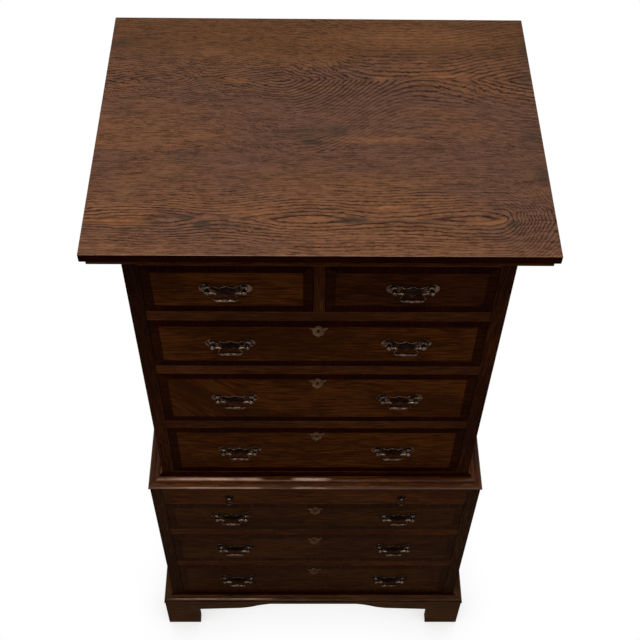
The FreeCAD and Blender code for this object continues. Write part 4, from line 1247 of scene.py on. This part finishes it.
@dataclass
class BracketBase:
    """Shaped brackets mitred at the front corners, plain rear ones, and the frame and blocks inside."""

    half: float = 0.375
    front: float = -0.286
    height: float = 0.128
    thick: float = 0.022
    rear_thick: float = 0.018
    foot: float = 0.082       # width of a foot on the floor
    notch: float = 0.085      # how high its inner edge runs straight up
    ramp: float = 0.108       # how far the slope above that runs in
    ramp_top: float = 0.092
    cyma: float = 0.076       # length of the double curve up to the apron
    apron: float = 0.118      # Z of the apron's lower edge
    frame_thick: float = 0.016
    frame_width: float = 0.060
    frame_ease: float = 0.0005
    block: float = 0.044      # width of a glue block
    block_ease: float = 0.001
    ease: float = 0.0007
    hollow: tuple[Point, Point, Point] = ((0.0, 0.0), (0.27, 0.21), (0.5, 0.5))    # shares of the cyma
    swell: tuple[Point, Point, Point] = ((0.5, 0.5), (0.73, 0.79), (1.0, 1.0))
    curve_steps: int = 5
    # A rear bracket's curve: how far in from the foot, and the share of the apron's height.
    rear_curve: tuple[Point, Point, Point] = ((0.036, 1.0), (0.0108, 0.74), (0.0, 0.36))

    def line(self, start: float, length: float) -> list[Point]:
        """A bracket's outline.

        Args:
            start: Where along the floor it starts.
            length: How long it is.

        Returns:
            The outline, along and up.
        """
        ramp_end = self.foot + self.ramp
        rise = self.apron - self.ramp_top
        shares = [share for bend in (self.hollow, self.swell)
                  for share in three_point_arc(*bend, self.curve_steps)]
        curve = [(ramp_end + a * self.cyma, self.ramp_top + b * rise) for a, b in shares]
        left = [(0.0, 0.0), (self.foot, 0.0), (self.foot, self.notch), (ramp_end, self.ramp_top)] + curve
        right = [(length - a, b) for a, b in reversed(left)]
        return [(start + a, b) for a, b in left + right + [(length, self.height), (0.0, self.height)]]

    def build(self) -> None:
        """Make it."""
        piece = Piece("bracket_base", "case", "case_oak", ("bracket_feet",))
        corners = {side: Vector((side * self.half, self.front, 0.0)) for side in SIDES}
        cuts = [(corners[side], Vector((side, 1, 0))) for side in (1, -1)]
        piece.fret(self.line(-self.half, 2 * self.half), 1, self.front, self.front + self.thick,
                   BASE.across, self.ease, cuts)
        for side in (1, -1):
            low, high = sorted((side * self.half, side * (self.half - self.thick)))
            piece.fret(self.line(self.front, BACK - self.front), 0, low, high, BASE.deep, self.ease,
                       [(corners[side], Vector((-side, -1, 0)))])
            self.add_rear(piece, side)
        self.add_inside(piece)
        piece.finish_off(smooth=False)

    def add_rear(self, piece: Piece, side: int) -> None:
        """Add the plain bracket behind a rear foot.

        Args:
            piece: The base.
            side: -1 for the left foot, 1 for the right one.
        """
        edge = self.half - self.thick
        foot = edge - (self.foot - self.thick)
        curve = [(foot - inwards, self.apron * share) for inwards, share in self.rear_curve]
        start = curve[0][0]
        line = [(edge, 0.0), (edge, self.height), (start, self.height), curve[0],
                *three_point_arc(*curve, 6), (foot, 0.0)]
        piece.fret([(side * x, z) for x, z in line], 1, BACK - self.rear_thick, BACK, RAW.across,
                   self.ease)

    def add_inside(self, piece: Piece) -> None:
        """Add the glue blocks in the feet, and the flat frame on them that the case stands on.

        Args:
            piece: The base.
        """
        half = self.half - self.thick
        low = self.height - self.frame_thick
        near, far = self.front + self.thick, BACK - self.rear_thick
        for start in (near, far - self.block):
            piece.pair((half, half - self.block), (start, 0.0), (start + self.block, low), INSIDE.deep,
                       self.block_ease)
        for start in (near, far - self.frame_width):
            piece.board((-half, start, low), (half, start + self.frame_width, self.height),
                        INSIDE.across, self.frame_ease)
        piece.pair((half, half - self.frame_width), (near + self.frame_width, low),
                   (far - self.frame_width, self.height), INSIDE.deep, self.frame_ease)


@dataclass
class Carcase:
    """Both cases: the wood that carries the drawers, and the mouldings round it."""

    gap: float = 0.0003       # round the upper case, inside the waist moulding

    def mouldings(self) -> list[Moulding]:
        """Cornice, waist and base."""
        return [
            Moulding("cornice", "cornice_moulding", UPPER_HALF, UPPER_FRONT, CASE, reach=0.0445,
                     foot=1.419, height=0.053,
                     profile=((0, 1), (1, 1), (1, 0.72), (0.91, 0.72), (0.44, 0.585, 0.27, 0.23),
                              (0.27, 0.15), (0.18, 0.15), (0.15, 0.03, 0.05, 0), (0, 0))),
            Moulding("waist", "waist_moulding", UPPER_HALF + self.gap, UPPER_FRONT - self.gap, WAIST,
                     reach=0.0297, foot=0.690, height=0.021,
                     profile=((0, 0), (1, 0), (1, 0.1), (0.945, 0.28, 0.82, 0.36), (0.65, 0.36),
                              (0.65, 0.24), (0.52, 0.24), (0.35, 0.5, 0.18, 0.33), (0.12, 0.52),
                              (0.12, 0.76), (0.15, 0.9, 0.08, 1), (0, 1)),
                     # Painted shade on the top lip, and painted highlights on the thumb's and the bead's
                     # crests.
                     parts=((-0.1, 0.16, 0.5, 1.1, WAIST_LIP_SHADE), (0.11, 0.185, 0.3, 0.5, WAIST_MATT),
                            (0.98, 1.1, -0.1, 0.12, WAIST_MATT), (0.93, 0.999, 0.1, 0.34, WAIST_CREST_HIGHLIGHT),
                            (0.19, 0.44, 0.32, 0.6, WAIST_BEAD_HIGHLIGHT))),
            Moulding("base", "base_moulding", LOWER_HALF, LOWER_FRONT, SKIRT, reach=0.0215, foot=0.128,
                     height=0.014,
                     profile=((0, 0), (1, 0), (1, 0.21), (0.9, 0.54, 0.67, 0.68), (0.6, 0.68),
                              (0.6, 0.79), (0.37, 0.83, 0.14, 1), (0, 1)),
                     # Painted shade on the inner ledge, the small upright and the lower hollow, and a
                     # painted highlight on the crest.
                     parts=((0.98, 1.1, -0.1, 0.22, SKIRT_MATT), (-0.1, 0.61, 0.70, 1.1, SKIRT_MATT),
                            (-0.1, 0.22, 0.70, 1.1, FOOT_RAIL_SHADE),
                            (0.595, 0.605, 0.69, 0.78, SKIRT_SHADE),
                            (0.62, 0.735, 0.5, 0.70, BASE_CREST_HIGHLIGHT),
                            (0.86, 0.995, 0.2, 0.55, SKIRT_SHADE))),
        ]

    def frames(self) -> list[FrontFrame]:
        """The two front frames."""
        return [
            FrontFrame("upper_frame", "upper_front_frame", UPPER_HALF, 0.3015, UPPER_FRONT,
                       (0.690, 0.715, 0.891, 0.917, 1.084, 1.110, 1.250, 1.276, 1.400, 1.472),
                       (0.010, 1.276, 1.400)),
            FrontFrame("lower_frame", "lower_front_frame", LOWER_HALF, 0.3285, LOWER_FRONT,
                       (0.128, 0.148, 0.302, 0.328, 0.469, 0.495, 0.617, 0.639, 0.661, 0.690),
                       stile=LOW_STILE_UPRIGHT, foot_rail=FOOT_RAIL_SHADE),
        ]

    def build(self) -> None:
        """Make the mouldings and frames, and dress the boards of the frame."""
        for part in [TopBoard(), BracketBase(), *self.mouldings(), *self.frames()]:
            part.build()
        dress(CASE.upright, "upper_left_side", "upper_right_side", "lower_left_side",
              "lower_right_side")
        dress(BACK_UPRIGHT, "upper_back_boards")
        dress(LOW_BACK_UPRIGHT, "lower_back_boards")
        dress(INSIDE.across, "upper_bottom_board", "lower_top_board", "lower_bottom_board")
        dress(INSIDE.deep, "upper_runners", "lower_runners")


# ---------------------------------------------------------------- brasswork
@dataclass
class SwanNeckHandle:
    """A bail on two posts, over a bat-wing backplate."""

    spacing: float = 63.5     # millimetres from here down
    standoff: float = 12.0
    plate: float = 2.0
    border_width: float = 1.1
    sink: float = 0.45        # of the plate's ground below its border
    edge_ease: float = 0.35
    lobe: float = 11.4        # radius of the plate's ends
    lobe_offset: float = 2.2
    hole: float = 2.35        # radius
    shank: tuple[Point, ...] = ((0.0, 0.0), (0.0, 2.1), (25.6, 2.1), (26.2, 1.5), (26.2, 0.0))
    nut: float = 4.5          # half its width
    nut_thick: float = 3.5
    nut_ease: float = 0.5
    drop: float = 20.5
    pin: float = 1.5
    wire: float = 2.15
    grip: float = 2.6
    shade_line: float = 5.0   # below the posts, where the border takes the ground's colour as painted shade
    crest: float = 20.0       # half the stretch of the border's top that takes the painted highlight
    wear_and_sheen: Point = (-1.4, -18.6)     # the bail is bright above the one and below the other
    ground: AgedBrass = PLATE_BRASS
    border: AgedBrass = RIM_BRASS
    top: AgedBrass = CREST_HIGHLIGHT_BRASS

    def plate_line(self) -> list[Point]:
        """The backplate's outline about its middle."""
        half = self.spacing / 2
        top = [(0.0, 4.6), (0.07, 4.3), (0.14, 3.2), (0.24, 1.0), (0.33, 0.2), (0.43, 0.5), (0.5, 1.4),
               (0.57, 3.4), (0.645, 4.6)]
        foot = [(0.645, -17.0), (0.55, -16.2), (0.46, -15.3), (0.37, -15.6), (0.27, -17.2),
                (0.18, -19.5), (0.09, -22.6), (0.0, -25.0)]
        lobe = arc((half + self.lobe_offset, 0.0), self.lobe, 118.0, -118.0, 26)
        right = [(x * half, z) for x, z in top] + lobe + [(x * half, z) for x, z in foot]
        return mirrored(right)

    def posts(self) -> Point:
        """X of the posts about the handle's middle, in millimetres."""
        return (-self.spacing / 2, self.spacing / 2)

    def add_plate(self, piece: Piece, seat: Seat) -> None:
        """Add the backplate to a piece.

        Args:
            piece: The drawer's brasswork.
            seat: The middle of the handle's pivots.
        """
        holes = [seat.laid(arc((offset, 0.0), self.hole, 0.0, 345.0, 23)) for offset in self.posts()]
        border = piece.cut_plate(seat.laid(self.plate_line()), holes, seat.front, self.plate,
                                 self.ground, self.border, self.border_width, self.sink,
                                 self.edge_ease)
        # Painted shade: below the posts the border takes the ground's colour; the middle of its top
        # takes the top finish, a painted highlight on the upper drawers.
        for face in border:
            middle = face.calc_center_median()
            if middle.z < seat.z - self.shade_line * MM:
                piece.paint([face], self.ground)
            elif middle.z > seat.z and abs(middle.x - seat.x) < self.crest * MM:
                piece.paint([face], self.top)

    def add_posts(self, piece: Piece, seat: Seat) -> None:
        """Add the posts, their shanks through the front and the nuts inside.

        Args:
            piece: The drawer's brasswork.
            seat: The middle of the handle's pivots.
        """
        head = self.standoff - self.plate
        outline = [(0.0, 0.0), (0.0, 5.6), (0.7, 6.1), (1.5, 6.0), (2.3, 5.1), (2.8, 3.9), (3.4, 2.9),
                   (4.6, 2.5), (5.4, 2.7), (6.2, 3.5), (7.4, 4.3), (head - 0.9, 4.75), (head, 4.85),
                   (head + 1.3, 4.7), (head + 2.6, 4.1), (head + 3.7, 3.0), (head + 4.4, 1.6),
                   (head + 4.6, 0.0)]
        for offset in self.posts():
            foot = seat.at(offset, out=self.plate)
            piece.turn(outline, foot, TOWARDS, POST_BRASS)
            piece.turn(self.shank, foot, INWARDS, POST_BRASS, 12)
            piece.board(seat.at(offset - self.nut, -self.nut, -FRONT_THICK),
                        seat.at(offset + self.nut, self.nut, -FRONT_THICK - self.nut_thick),
                        POST_BRASS, self.nut_ease * MM)

    def bail_stops(self) -> list[Vector]:
        """The bail from end to end: X and Z about the middle of its pivots, and its radius."""
        half = self.spacing / 2
        neck = ((0.4, 0.0, 0.35), (1.8, 0.0, 0.2), (5.0, -0.1, 0.0), (7.8, -0.5, 0.55),
                (10.1, -2.3, 0.0), (10.3, -5.2, -0.25), (8.6, -8.0, -0.35), (6.2, -10.4, -0.35),
                (4.9, -13.2, -0.3), (5.5, -16.3, -0.1), (8.0, -19.0, 0.15))
        hold = ((11.4, 0.2, 0.1), (13.4, 0.0, 0.5), (15.0, 0.0, -0.1), (18.0, 0.0, 0.1))
        shoulder = half - 4.9
        stops = [(half + 4.9, 0.0, 1.2), (half + 4.4, 0.0, 1.9), (half + 3.2, 0.0, self.pin),
                 (shoulder + 0.6, 0.0, self.pin)]
        stops += [(shoulder - inwards, z, self.wire + more) for inwards, z, more in neck]
        stops += [(shoulder - inwards, up - self.drop, self.grip + more) for inwards, up, more in hold]
        stops.append((0.0, -self.drop, self.grip + 0.3))
        return [Vector(stop) for stop in stops + [(-x, z, r) for x, z, r in reversed(stops[:-1])]]

    def bail_line(self, steps: int = 3) -> list[Vector]:
        """The bail's middle line and radius, drawn smoothly through its stops.

        Args:
            steps: Points to each stop.

        Returns:
            X, Z and radius of each point, in millimetres.
        """
        stops = self.bail_stops()
        line = []
        for i in range(len(stops) - 1):
            a, b, c, d = (stops[min(max(k, 0), len(stops) - 1)] for k in range(i - 1, i + 3))
            for t in (step / steps for step in range(steps)):
                line.append((2 * b + (c - a) * t + (2 * a - 5 * b + 4 * c - d) * t * t
                             + (3 * b - a - 3 * c + d) * t ** 3) / 2)
        return line + stops[-1:]

    def build_bail(self, node: str, seat: Seat) -> None:
        """Make the bail that stands for a node.

        Args:
            node: The node.
            seat: The middle of the handle's pivots.
        """
        piece = Piece(node + "_cast", node, "aged_brass", (node,))
        line = self.bail_line()
        piece.sweep([seat.at(stop.x, stop.y, self.standoff) for stop in line],
                    [stop.z for stop in line], BAIL_BRASS)
        bmesh.ops.recalc_face_normals(piece.mesh, faces=piece.mesh.faces)
        # Wear and painted highlight: the arms and the grip, where their faces don't turn down, take the
        # brighter brass.
        high, low = (seat.z + level * MM for level in self.wear_and_sheen)
        piece.paint((face for face in piece.mesh.faces
                     if face.normal.z > -0.3 and not low < face.calc_center_median().z < high),
                    GRIP_WEAR_AND_SHEEN_BRASS)
        piece.finish_off()


@dataclass
class KeyPlate:
    """A winged-shield escutcheon and the lock behind it."""

    thick: float = 1.2        # millimetres from here down
    border_width: float = 0.8
    sink: float = 0.25
    edge_ease: float = 0.3
    pin_places: tuple[Point, ...] = ((12.2, 8.2), (-12.2, 8.2), (0.0, -14.6))
    pin: tuple[Point, ...] = ((0.0, 0.0), (0.0, 0.9), (0.25, 0.8), (0.5, 0.0))
    lock_size: tuple[float, float, float] = (58.0, 11.0, 42.0)
    lock_ease: float = 0.6
    screw_places: tuple[Point, ...] = ((-24.0, -6.0), (24.0, -6.0), (-24.0, -36.0), (24.0, -36.0))
    screw: tuple[Point, ...] = ((0.0, 0.0), (0.0, 2.3), (0.35, 2.1), (0.7, 1.2), (0.7, 0.0))

    def shield_line(self) -> list[Point]:
        """The shield's outline about the keyhole."""
        right = [(0.0, 16.0), (2.4, 15.8), (4.5, 15.0), (5.6, 12.8), (6.8, 11.0), (9.0, 9.9),
                 (12.5, 10.2), (15.0, 11.6), (16.6, 11.6), (16.2, 8.6), (14.4, 6.2), (12.0, 4.4),
                 (10.3, 1.6), (10.6, -2.4), (10.0, -6.6), (8.2, -10.4), (5.4, -12.9), (2.9, -14.3),
                 (1.3, -16.4), (0.0, -19.0)]
        return mirrored(right)

    def keyhole_line(self) -> list[Point]:
        """The keyhole's outline about its middle."""
        return arc((0.0, 3.8), 2.2, -60.0, 240.0, 18) + [(-1.1, -6.0), (1.1, -6.0)]

    def add(self, piece: Piece, seat: Seat) -> None:
        """Add the escutcheon, its pins, and the lock with its screws to a piece.

        Args:
            piece: The drawer's brasswork.
            seat: The keyhole's middle.
        """
        piece.cut_plate(seat.laid(self.shield_line()), [seat.laid(self.keyhole_line())], seat.front,
                        self.thick, KEY_BRASS, KEY_BRASS, self.border_width, self.sink, self.edge_ease)
        for x, z in self.pin_places:
            piece.turn(self.pin, seat.at(x, z, self.thick), TOWARDS, POST_BRASS, 10)
        wide, deep, high = self.lock_size
        piece.board(seat.at(-wide / 2, LOCK_TOP - high, deep - FRONT_THICK),
                    seat.at(wide / 2, LOCK_TOP, -FRONT_THICK), KEY_BRASS, self.lock_ease * MM)
        for x, z in self.screw_places:
            piece.turn(self.screw, seat.at(x, LOCK_TOP + z, -FRONT_THICK), INWARDS, IRON, 12)


@dataclass
class SlidePull:
    """A drop on a rosette, for the brushing slide."""

    seat: Seat
    pivot: float = 5.5        # before the front; millimetres from here down
    fork: float = 2.8         # from the middle to one of its ears
    ear: float = 0.65         # half an ear's thickness
    ear_low: Point = (7.7, 2.2)       # how far before the front, and below the pivot, it reaches
    ear_high: Point = (1.2, 2.2)      # where it starts before the front, and its reach above
    ear_ease: float = 0.4
    pin: float = 3.8          # half its length
    rosette: tuple[Point, ...] = ((0.0, 0.0), (0.0, 9.5), (0.5, 9.4), (1.1, 8.7), (1.3, 7.6),
                                  (1.1, 7.0), (1.6, 5.2), (2.2, 3.6), (2.6, 0.0))
    pin_line: tuple[Point, ...] = ((0.0, 0.0), (0.0, 0.9), (7.6, 0.9), (7.6, 0.0))
    head: tuple[Point, ...] = ((0.0, 0.0), (0.0, 2.1), (0.4, 2.5), (3.6, 2.5), (4.0, 2.1), (4.0, 0.0))
    neck: tuple[Point, ...] = ((0.8, 0.0), (0.8, 1.4), (4.0, 1.25), (7.5, 1.3), (8.6, 1.75),
                               (9.6, 1.3), (12.2, 1.7), (13.2, 0.0))
    loop: tuple[tuple[float, float, float], ...] = (
        (0.0, -12.3, 1.5), (2.4, -13.0, 1.45), (4.6, -14.7, 1.5), (6.3, -17.2, 1.65),
        (6.95, -20.1, 1.8), (6.3, -22.9, 1.8), (4.6, -24.8, 1.75), (2.4, -25.6, 1.75),
        (0.0, -25.7, 1.8))    # X, Z and radius down its right half

    def build_mount(self, piece: Piece) -> None:
        """Add the rosette, its fork and the pin.

        Args:
            piece: The slide's brasswork.
        """
        piece.turn(self.rosette, self.seat.at(), TOWARDS, DIM_PLATE_BRASS, 28)
        (far, below), (near, above) = self.ear_low, self.ear_high
        for side in SIDES:
            middle = side * self.fork
            piece.board(self.seat.at(middle - self.ear, -below, far),
                        self.seat.at(middle + self.ear, above, near), RIM_BRASS, self.ear_ease * MM)
        piece.turn(self.pin_line, self.seat.at(-self.pin, out=self.pivot), RIGHTWARDS, POST_BRASS, 12)

    def build_drop(self, node: str) -> None:
        """Make the teardrop loop that swings on the pin.

        Args:
            node: The node that it stands for.
        """
        piece = Piece(node + "_cast", node, "aged_brass", (node,))
        start = self.seat.at(-self.head[-1][0] / 2, out=self.pivot)
        piece.turn(self.head, start, RIGHTWARDS, RIM_BRASS, 16)
        piece.turn(self.neck, self.seat.at(out=self.pivot), DOWNWARDS, BAIL_BRASS, 16)
        loop = [*self.loop, *((-x, z, radius) for x, z, radius in reversed(self.loop[1:-1]))]
        piece.sweep([self.seat.at(x, z, self.pivot) for x, z, _ in loop],
                    [radius for _, _, radius in loop], BAIL_BRASS, closed=True)
        piece.finish_off()


# ---------------------------------------------------------------- drawers
@dataclass
class Drawer:
    """One drawer: its front, box, brasswork and bails."""

    name: str
    front: float              # Y
    handles: dict[str, float]         # bail's name and X
    pivot: float              # Z of the handles' pivots
    tones: Tones = FRONT_TONES
    band_tones: Tones = BAND_TONES
    end_tones: Tones = END_TONES
    slope: float = 0.0        # of the grain at the front's left end
    handle: SwanNeckHandle = field(default_factory=SwanNeckHandle)
    side_thick: float = 0.010
    ease: float = 0.0007
    weld: float = 1e-5        # corners of the front closer than this are one

    def build(self) -> None:
        """Make and dress it."""
        self.build_front()
        low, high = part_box(self.name + "_box")
        dress(BoxOak(self.name + "_box_oak", (low.x + high.x) / 2,
                     (high.x - low.x) / 2 - self.side_thick), self.name + "_box")
        piece = Piece(self.name + "_brasswork", self.name, "aged_brass", (self.name + "_fittings",))
        for side, x in self.handles.items():
            seat = Seat(x, self.pivot, self.front)
            self.handle.add_plate(piece, seat)
            self.handle.add_posts(piece, seat)
            self.handle.build_bail(self.name + "_bail" + side, seat)
        if len(self.handles) == 2:
            low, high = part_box(self.name + "_front")
            KeyPlate().add(piece, Seat((low.x + high.x) / 2, high.z - LOCK_TOP * MM, self.front))
        piece.finish_off()

    def build_front(self) -> None:
        """Ease the front's edges and finish it with its crossbanding."""
        node = self.name + "_front"
        low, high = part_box(node)
        middle = ((low.x + high.x) / 2, (low.z + high.z) / 2)
        half = ((high.x - low.x) / 2, (high.z - low.z) / 2)
        piece = Piece(self.name + "_face", self.name, "drawer_front_oak", (node,))
        mesh = piece.mesh
        mesh.from_mesh(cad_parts[node].data)
        bmesh.ops.remove_doubles(mesh, verts=mesh.verts, dist=self.weld)
        edges = [edge for edge in mesh.edges
                 if all(abs(dot.co.y - low.y) < self.weld for dot in edge.verts)
                 and edge.is_manifold and edge.calc_face_angle() > FACET
                 and max(abs(dot.co.x - middle[0]) for dot in edge.verts) > half[0] - 1e-4]
        bevel(mesh, edges, self.ease)
        piece.paint(mesh.faces, DrawerOak(node + "_oak", middle, half, self.tones, self.band_tones,
                                          self.end_tones, self.slope))
        piece.finish_off(smooth=False)


@dataclass
class BrushingSlide:
    """The slide's board, the lipping on its front edge, and its two pulls."""

    half: float = 0.3275
    low: float = 0.639
    high: float = 0.660
    lipping: float = 0.032
    back: float = 0.214
    pull_x: float = 0.187
    pull_z: float = 0.6505
    ease: float = 0.0007      # of the lipping
    board_ease: float = 0.0004

    def build(self) -> None:
        """Make and dress it."""
        piece = Piece("slide_boards", "brushing_slide", "case_oak", ("brushing_slide",))
        joint = LOWER_FRONT + self.lipping
        # The lipping's rounding takes the paler arris oak: part wear, part painted highlight.
        piece.board((-self.half, LOWER_FRONT, self.low), (self.half, joint, self.high), CASE.across,
                    self.ease, EDGE_WEAR_AND_SHEEN)
        piece.board((-self.half, joint, self.low), (self.half, self.back, self.high), CASE.deep,
                    self.board_ease)
        piece.finish_off(smooth=False)
        mounts = Piece("slide_pull_rosettes", "brushing_slide", "aged_brass", ("slide_pull_mounts",))
        for node, x in (("slide_drop_left", -self.pull_x), ("slide_drop_right", self.pull_x)):
            pull = SlidePull(Seat(x, self.pull_z, LOWER_FRONT))
            pull.build_mount(mounts)
            pull.build_drop(node)
        mounts.finish_off()


def drawers() -> list[Drawer]:
    """Every drawer of the chest."""
    pairs = {place: {"_left": -place, "_right": place} for place in (UPPER_HANDLE, LOWER_HANDLE)}
    low = {"tones": LOWER_TONES, "band_tones": LOW_BAND_TONES, "end_tones": LOW_BAND_TONES,
           "handle": SwanNeckHandle(ground=DIM_PLATE_BRASS, top=RIM_BRASS)}
    upper = [Drawer(f"upper_{name}_drawer", UPPER_FRONT, pairs[UPPER_HANDLE], pivot, slope=slope)
             for name, pivot, slope in (("bottom", 0.809, 0.0), ("third", 1.0065, 0.55),
                                        ("second", 1.186, 0.0))]
    top = [Drawer("top_left_drawer", UPPER_FRONT, {"": -UPPER_HANDLE}, 1.344),
           Drawer("top_right_drawer", UPPER_FRONT, {"": UPPER_HANDLE}, 1.344, DIM_TONES)]
    lower = [Drawer(f"lower_{name}_drawer", LOWER_FRONT, pairs[LOWER_HANDLE], pivot, **low)
             for name, pivot in (("bottom", 0.235), ("middle", 0.4085), ("top", 0.566))]
    return upper + top + lower


# ---------------------------------------------------------------- studio
@dataclass
class Studio:
    """A pale floor, soft lamps and the camera."""

    eye: tuple[float, float, float] = (-0.02527, -1.43133, 2.83264)
    yaw: float = -0.023       # to the left; the angles are in radians
    pitch: float = 0.924      # downwards
    roll: float = 0.022
    focal: float = 1124.6     # pixels, in a render of this width
    width: float = 640.0
    sensor: float = 36.0
    daylight: float = 0.42
    # Each lamp's name, place, what it points at, width and watts.
    lamps: tuple[tuple, ...] = (
        ("overhead", (-0.3, -0.8, 4.0), (0.0, -0.1, 1.2), 2.2, 24.0),
        ("window", (-0.37, -0.85, 4.0), (-0.1, -0.2, 0.9), 1.0, 42.0))
    floor_size: float = 8.0   # half the floor's width
    shade_reach: float = 0.16         # how far from the feet the floor darkens
    shade: Colour = (0.74, 0.735, 0.73)

    def camera(self) -> None:
        """Place the camera."""
        data = bpy.data.cameras.new("camera")
        data.sensor_width = self.sensor
        data.sensor_fit = "HORIZONTAL"
        data.lens = self.focal * self.sensor / self.width
        camera = place_in_scene("camera", data)
        camera.matrix_world = (Matrix.Translation(self.eye) @ Matrix.Rotation(self.yaw, 4, "Z")
                               @ Matrix.Rotation(math.pi / 2 - self.pitch, 4, "X")
                               @ Matrix.Rotation(self.roll, 4, "Z"))
        bpy.context.scene.camera = camera

    def before_white(self, recipe: Recipe, lit: bpy.types.NodeSocket, glow: Value) -> Value:
        """Show the rays that see the background a glow, and light the chest with a shader.

        Args:
            recipe: The nodes.
            lit: The shader that lights the chest.
            glow: What the camera sees.

        Returns:
            The mixed shader.
        """
        paths = recipe.node("ShaderNodeLightPath", {}, {}, "Is Camera Ray")
        names = paths.socket.node.outputs
        seen = paths.most(Value(recipe, names["Is Glossy Ray"]))
        seen = seen.most(Value(recipe, names["Is Transmission Ray"]))
        return recipe.node("ShaderNodeMixShader", {}, {0: seen, 1: Value(recipe, lit), 2: glow})

    def backdrop(self, world: bpy.types.World) -> None:
        """Light the chest from all round, before a white backdrop.

        Args:
            world: The scene's world.
        """
        recipe = Recipe("studio_world", world.node_tree)
        lit = world.node_tree.nodes["Background"]
        recipe.feed(lit.inputs["Color"], (1.0, 0.985, 0.97))
        recipe.feed(lit.inputs["Strength"], self.daylight)
        plain = recipe.node("ShaderNodeBackground", {}, {"Color": (1.0, 1.0, 1.0), "Strength": 1.0})
        recipe.feed(world.node_tree.nodes["World Output"].inputs["Surface"],
                    self.before_white(recipe, lit.outputs[0], plain))

    def floor(self) -> None:
        """A wide white floor that keeps a faint shadow close to the feet."""
        recipe = Recipe("studio_floor")
        recipe.surface(Base_Color=(0.9, 0.9, 0.9), Roughness=0.9, Specular_IOR_Level=0.0)
        open_air = recipe.node("ShaderNodeAmbientOcclusion", {"samples": 16},
                               {"Distance": self.shade_reach}, "AO")
        tone = recipe.mix(open_air.rise(0.2, 0.97), self.shade, (1.0, 1.0, 1.0))
        glow = recipe.node("ShaderNodeEmission", {}, {"Color": tone, "Strength": 1.0})
        recipe.feed(recipe.tree.nodes["Material Output"].inputs["Surface"],
                    self.before_white(recipe, recipe.shader.outputs[0], glow))
        mesh = bmesh.new()
        bmesh.ops.create_grid(mesh, x_segments=1, y_segments=1, size=self.floor_size)
        data = bpy.data.meshes.new("studio_floor")
        mesh.to_mesh(data)
        mesh.free()
        data.materials.append(recipe.material)
        place_in_scene("studio_floor", data)

    def lamp(self, name: str, place: Sequence[float], aim: Sequence[float], size: float,
             power: float) -> None:
        """One soft lamp.

        Args:
            name: Its name.
            place: Where it hangs.
            aim: What it points at.
            size: Width of its face.
            power: Watts.
        """
        data = bpy.data.lights.new(name, "AREA")
        data.shape = "SQUARE"
        data.size = size
        data.energy = power
        lamp = place_in_scene(name, data)
        lamp.location = place
        lamp.rotation_euler = (Vector(aim) - Vector(place)).to_track_quat("-Z", "Y").to_euler()

    def build(self) -> None:
        """Set up the floor, light and camera."""
        scene = bpy.context.scene
        scene.view_settings.view_transform = "Standard"
        world = bpy.data.worlds.new("studio_world")
        world.use_nodes = True
        scene.world = world
        self.backdrop(world)
        for lamp in self.lamps:
            self.lamp(*lamp)
        self.floor()
        self.camera()


def main() -> None:
    """Build the chest in order, then the studio round it."""
    logging.basicConfig(level=logging.INFO, format="%(message)s")
    for part in (Studio(), Carcase(), BrushingSlide(), *drawers()):
        part.build()


if __name__ == "__main__":
    main()
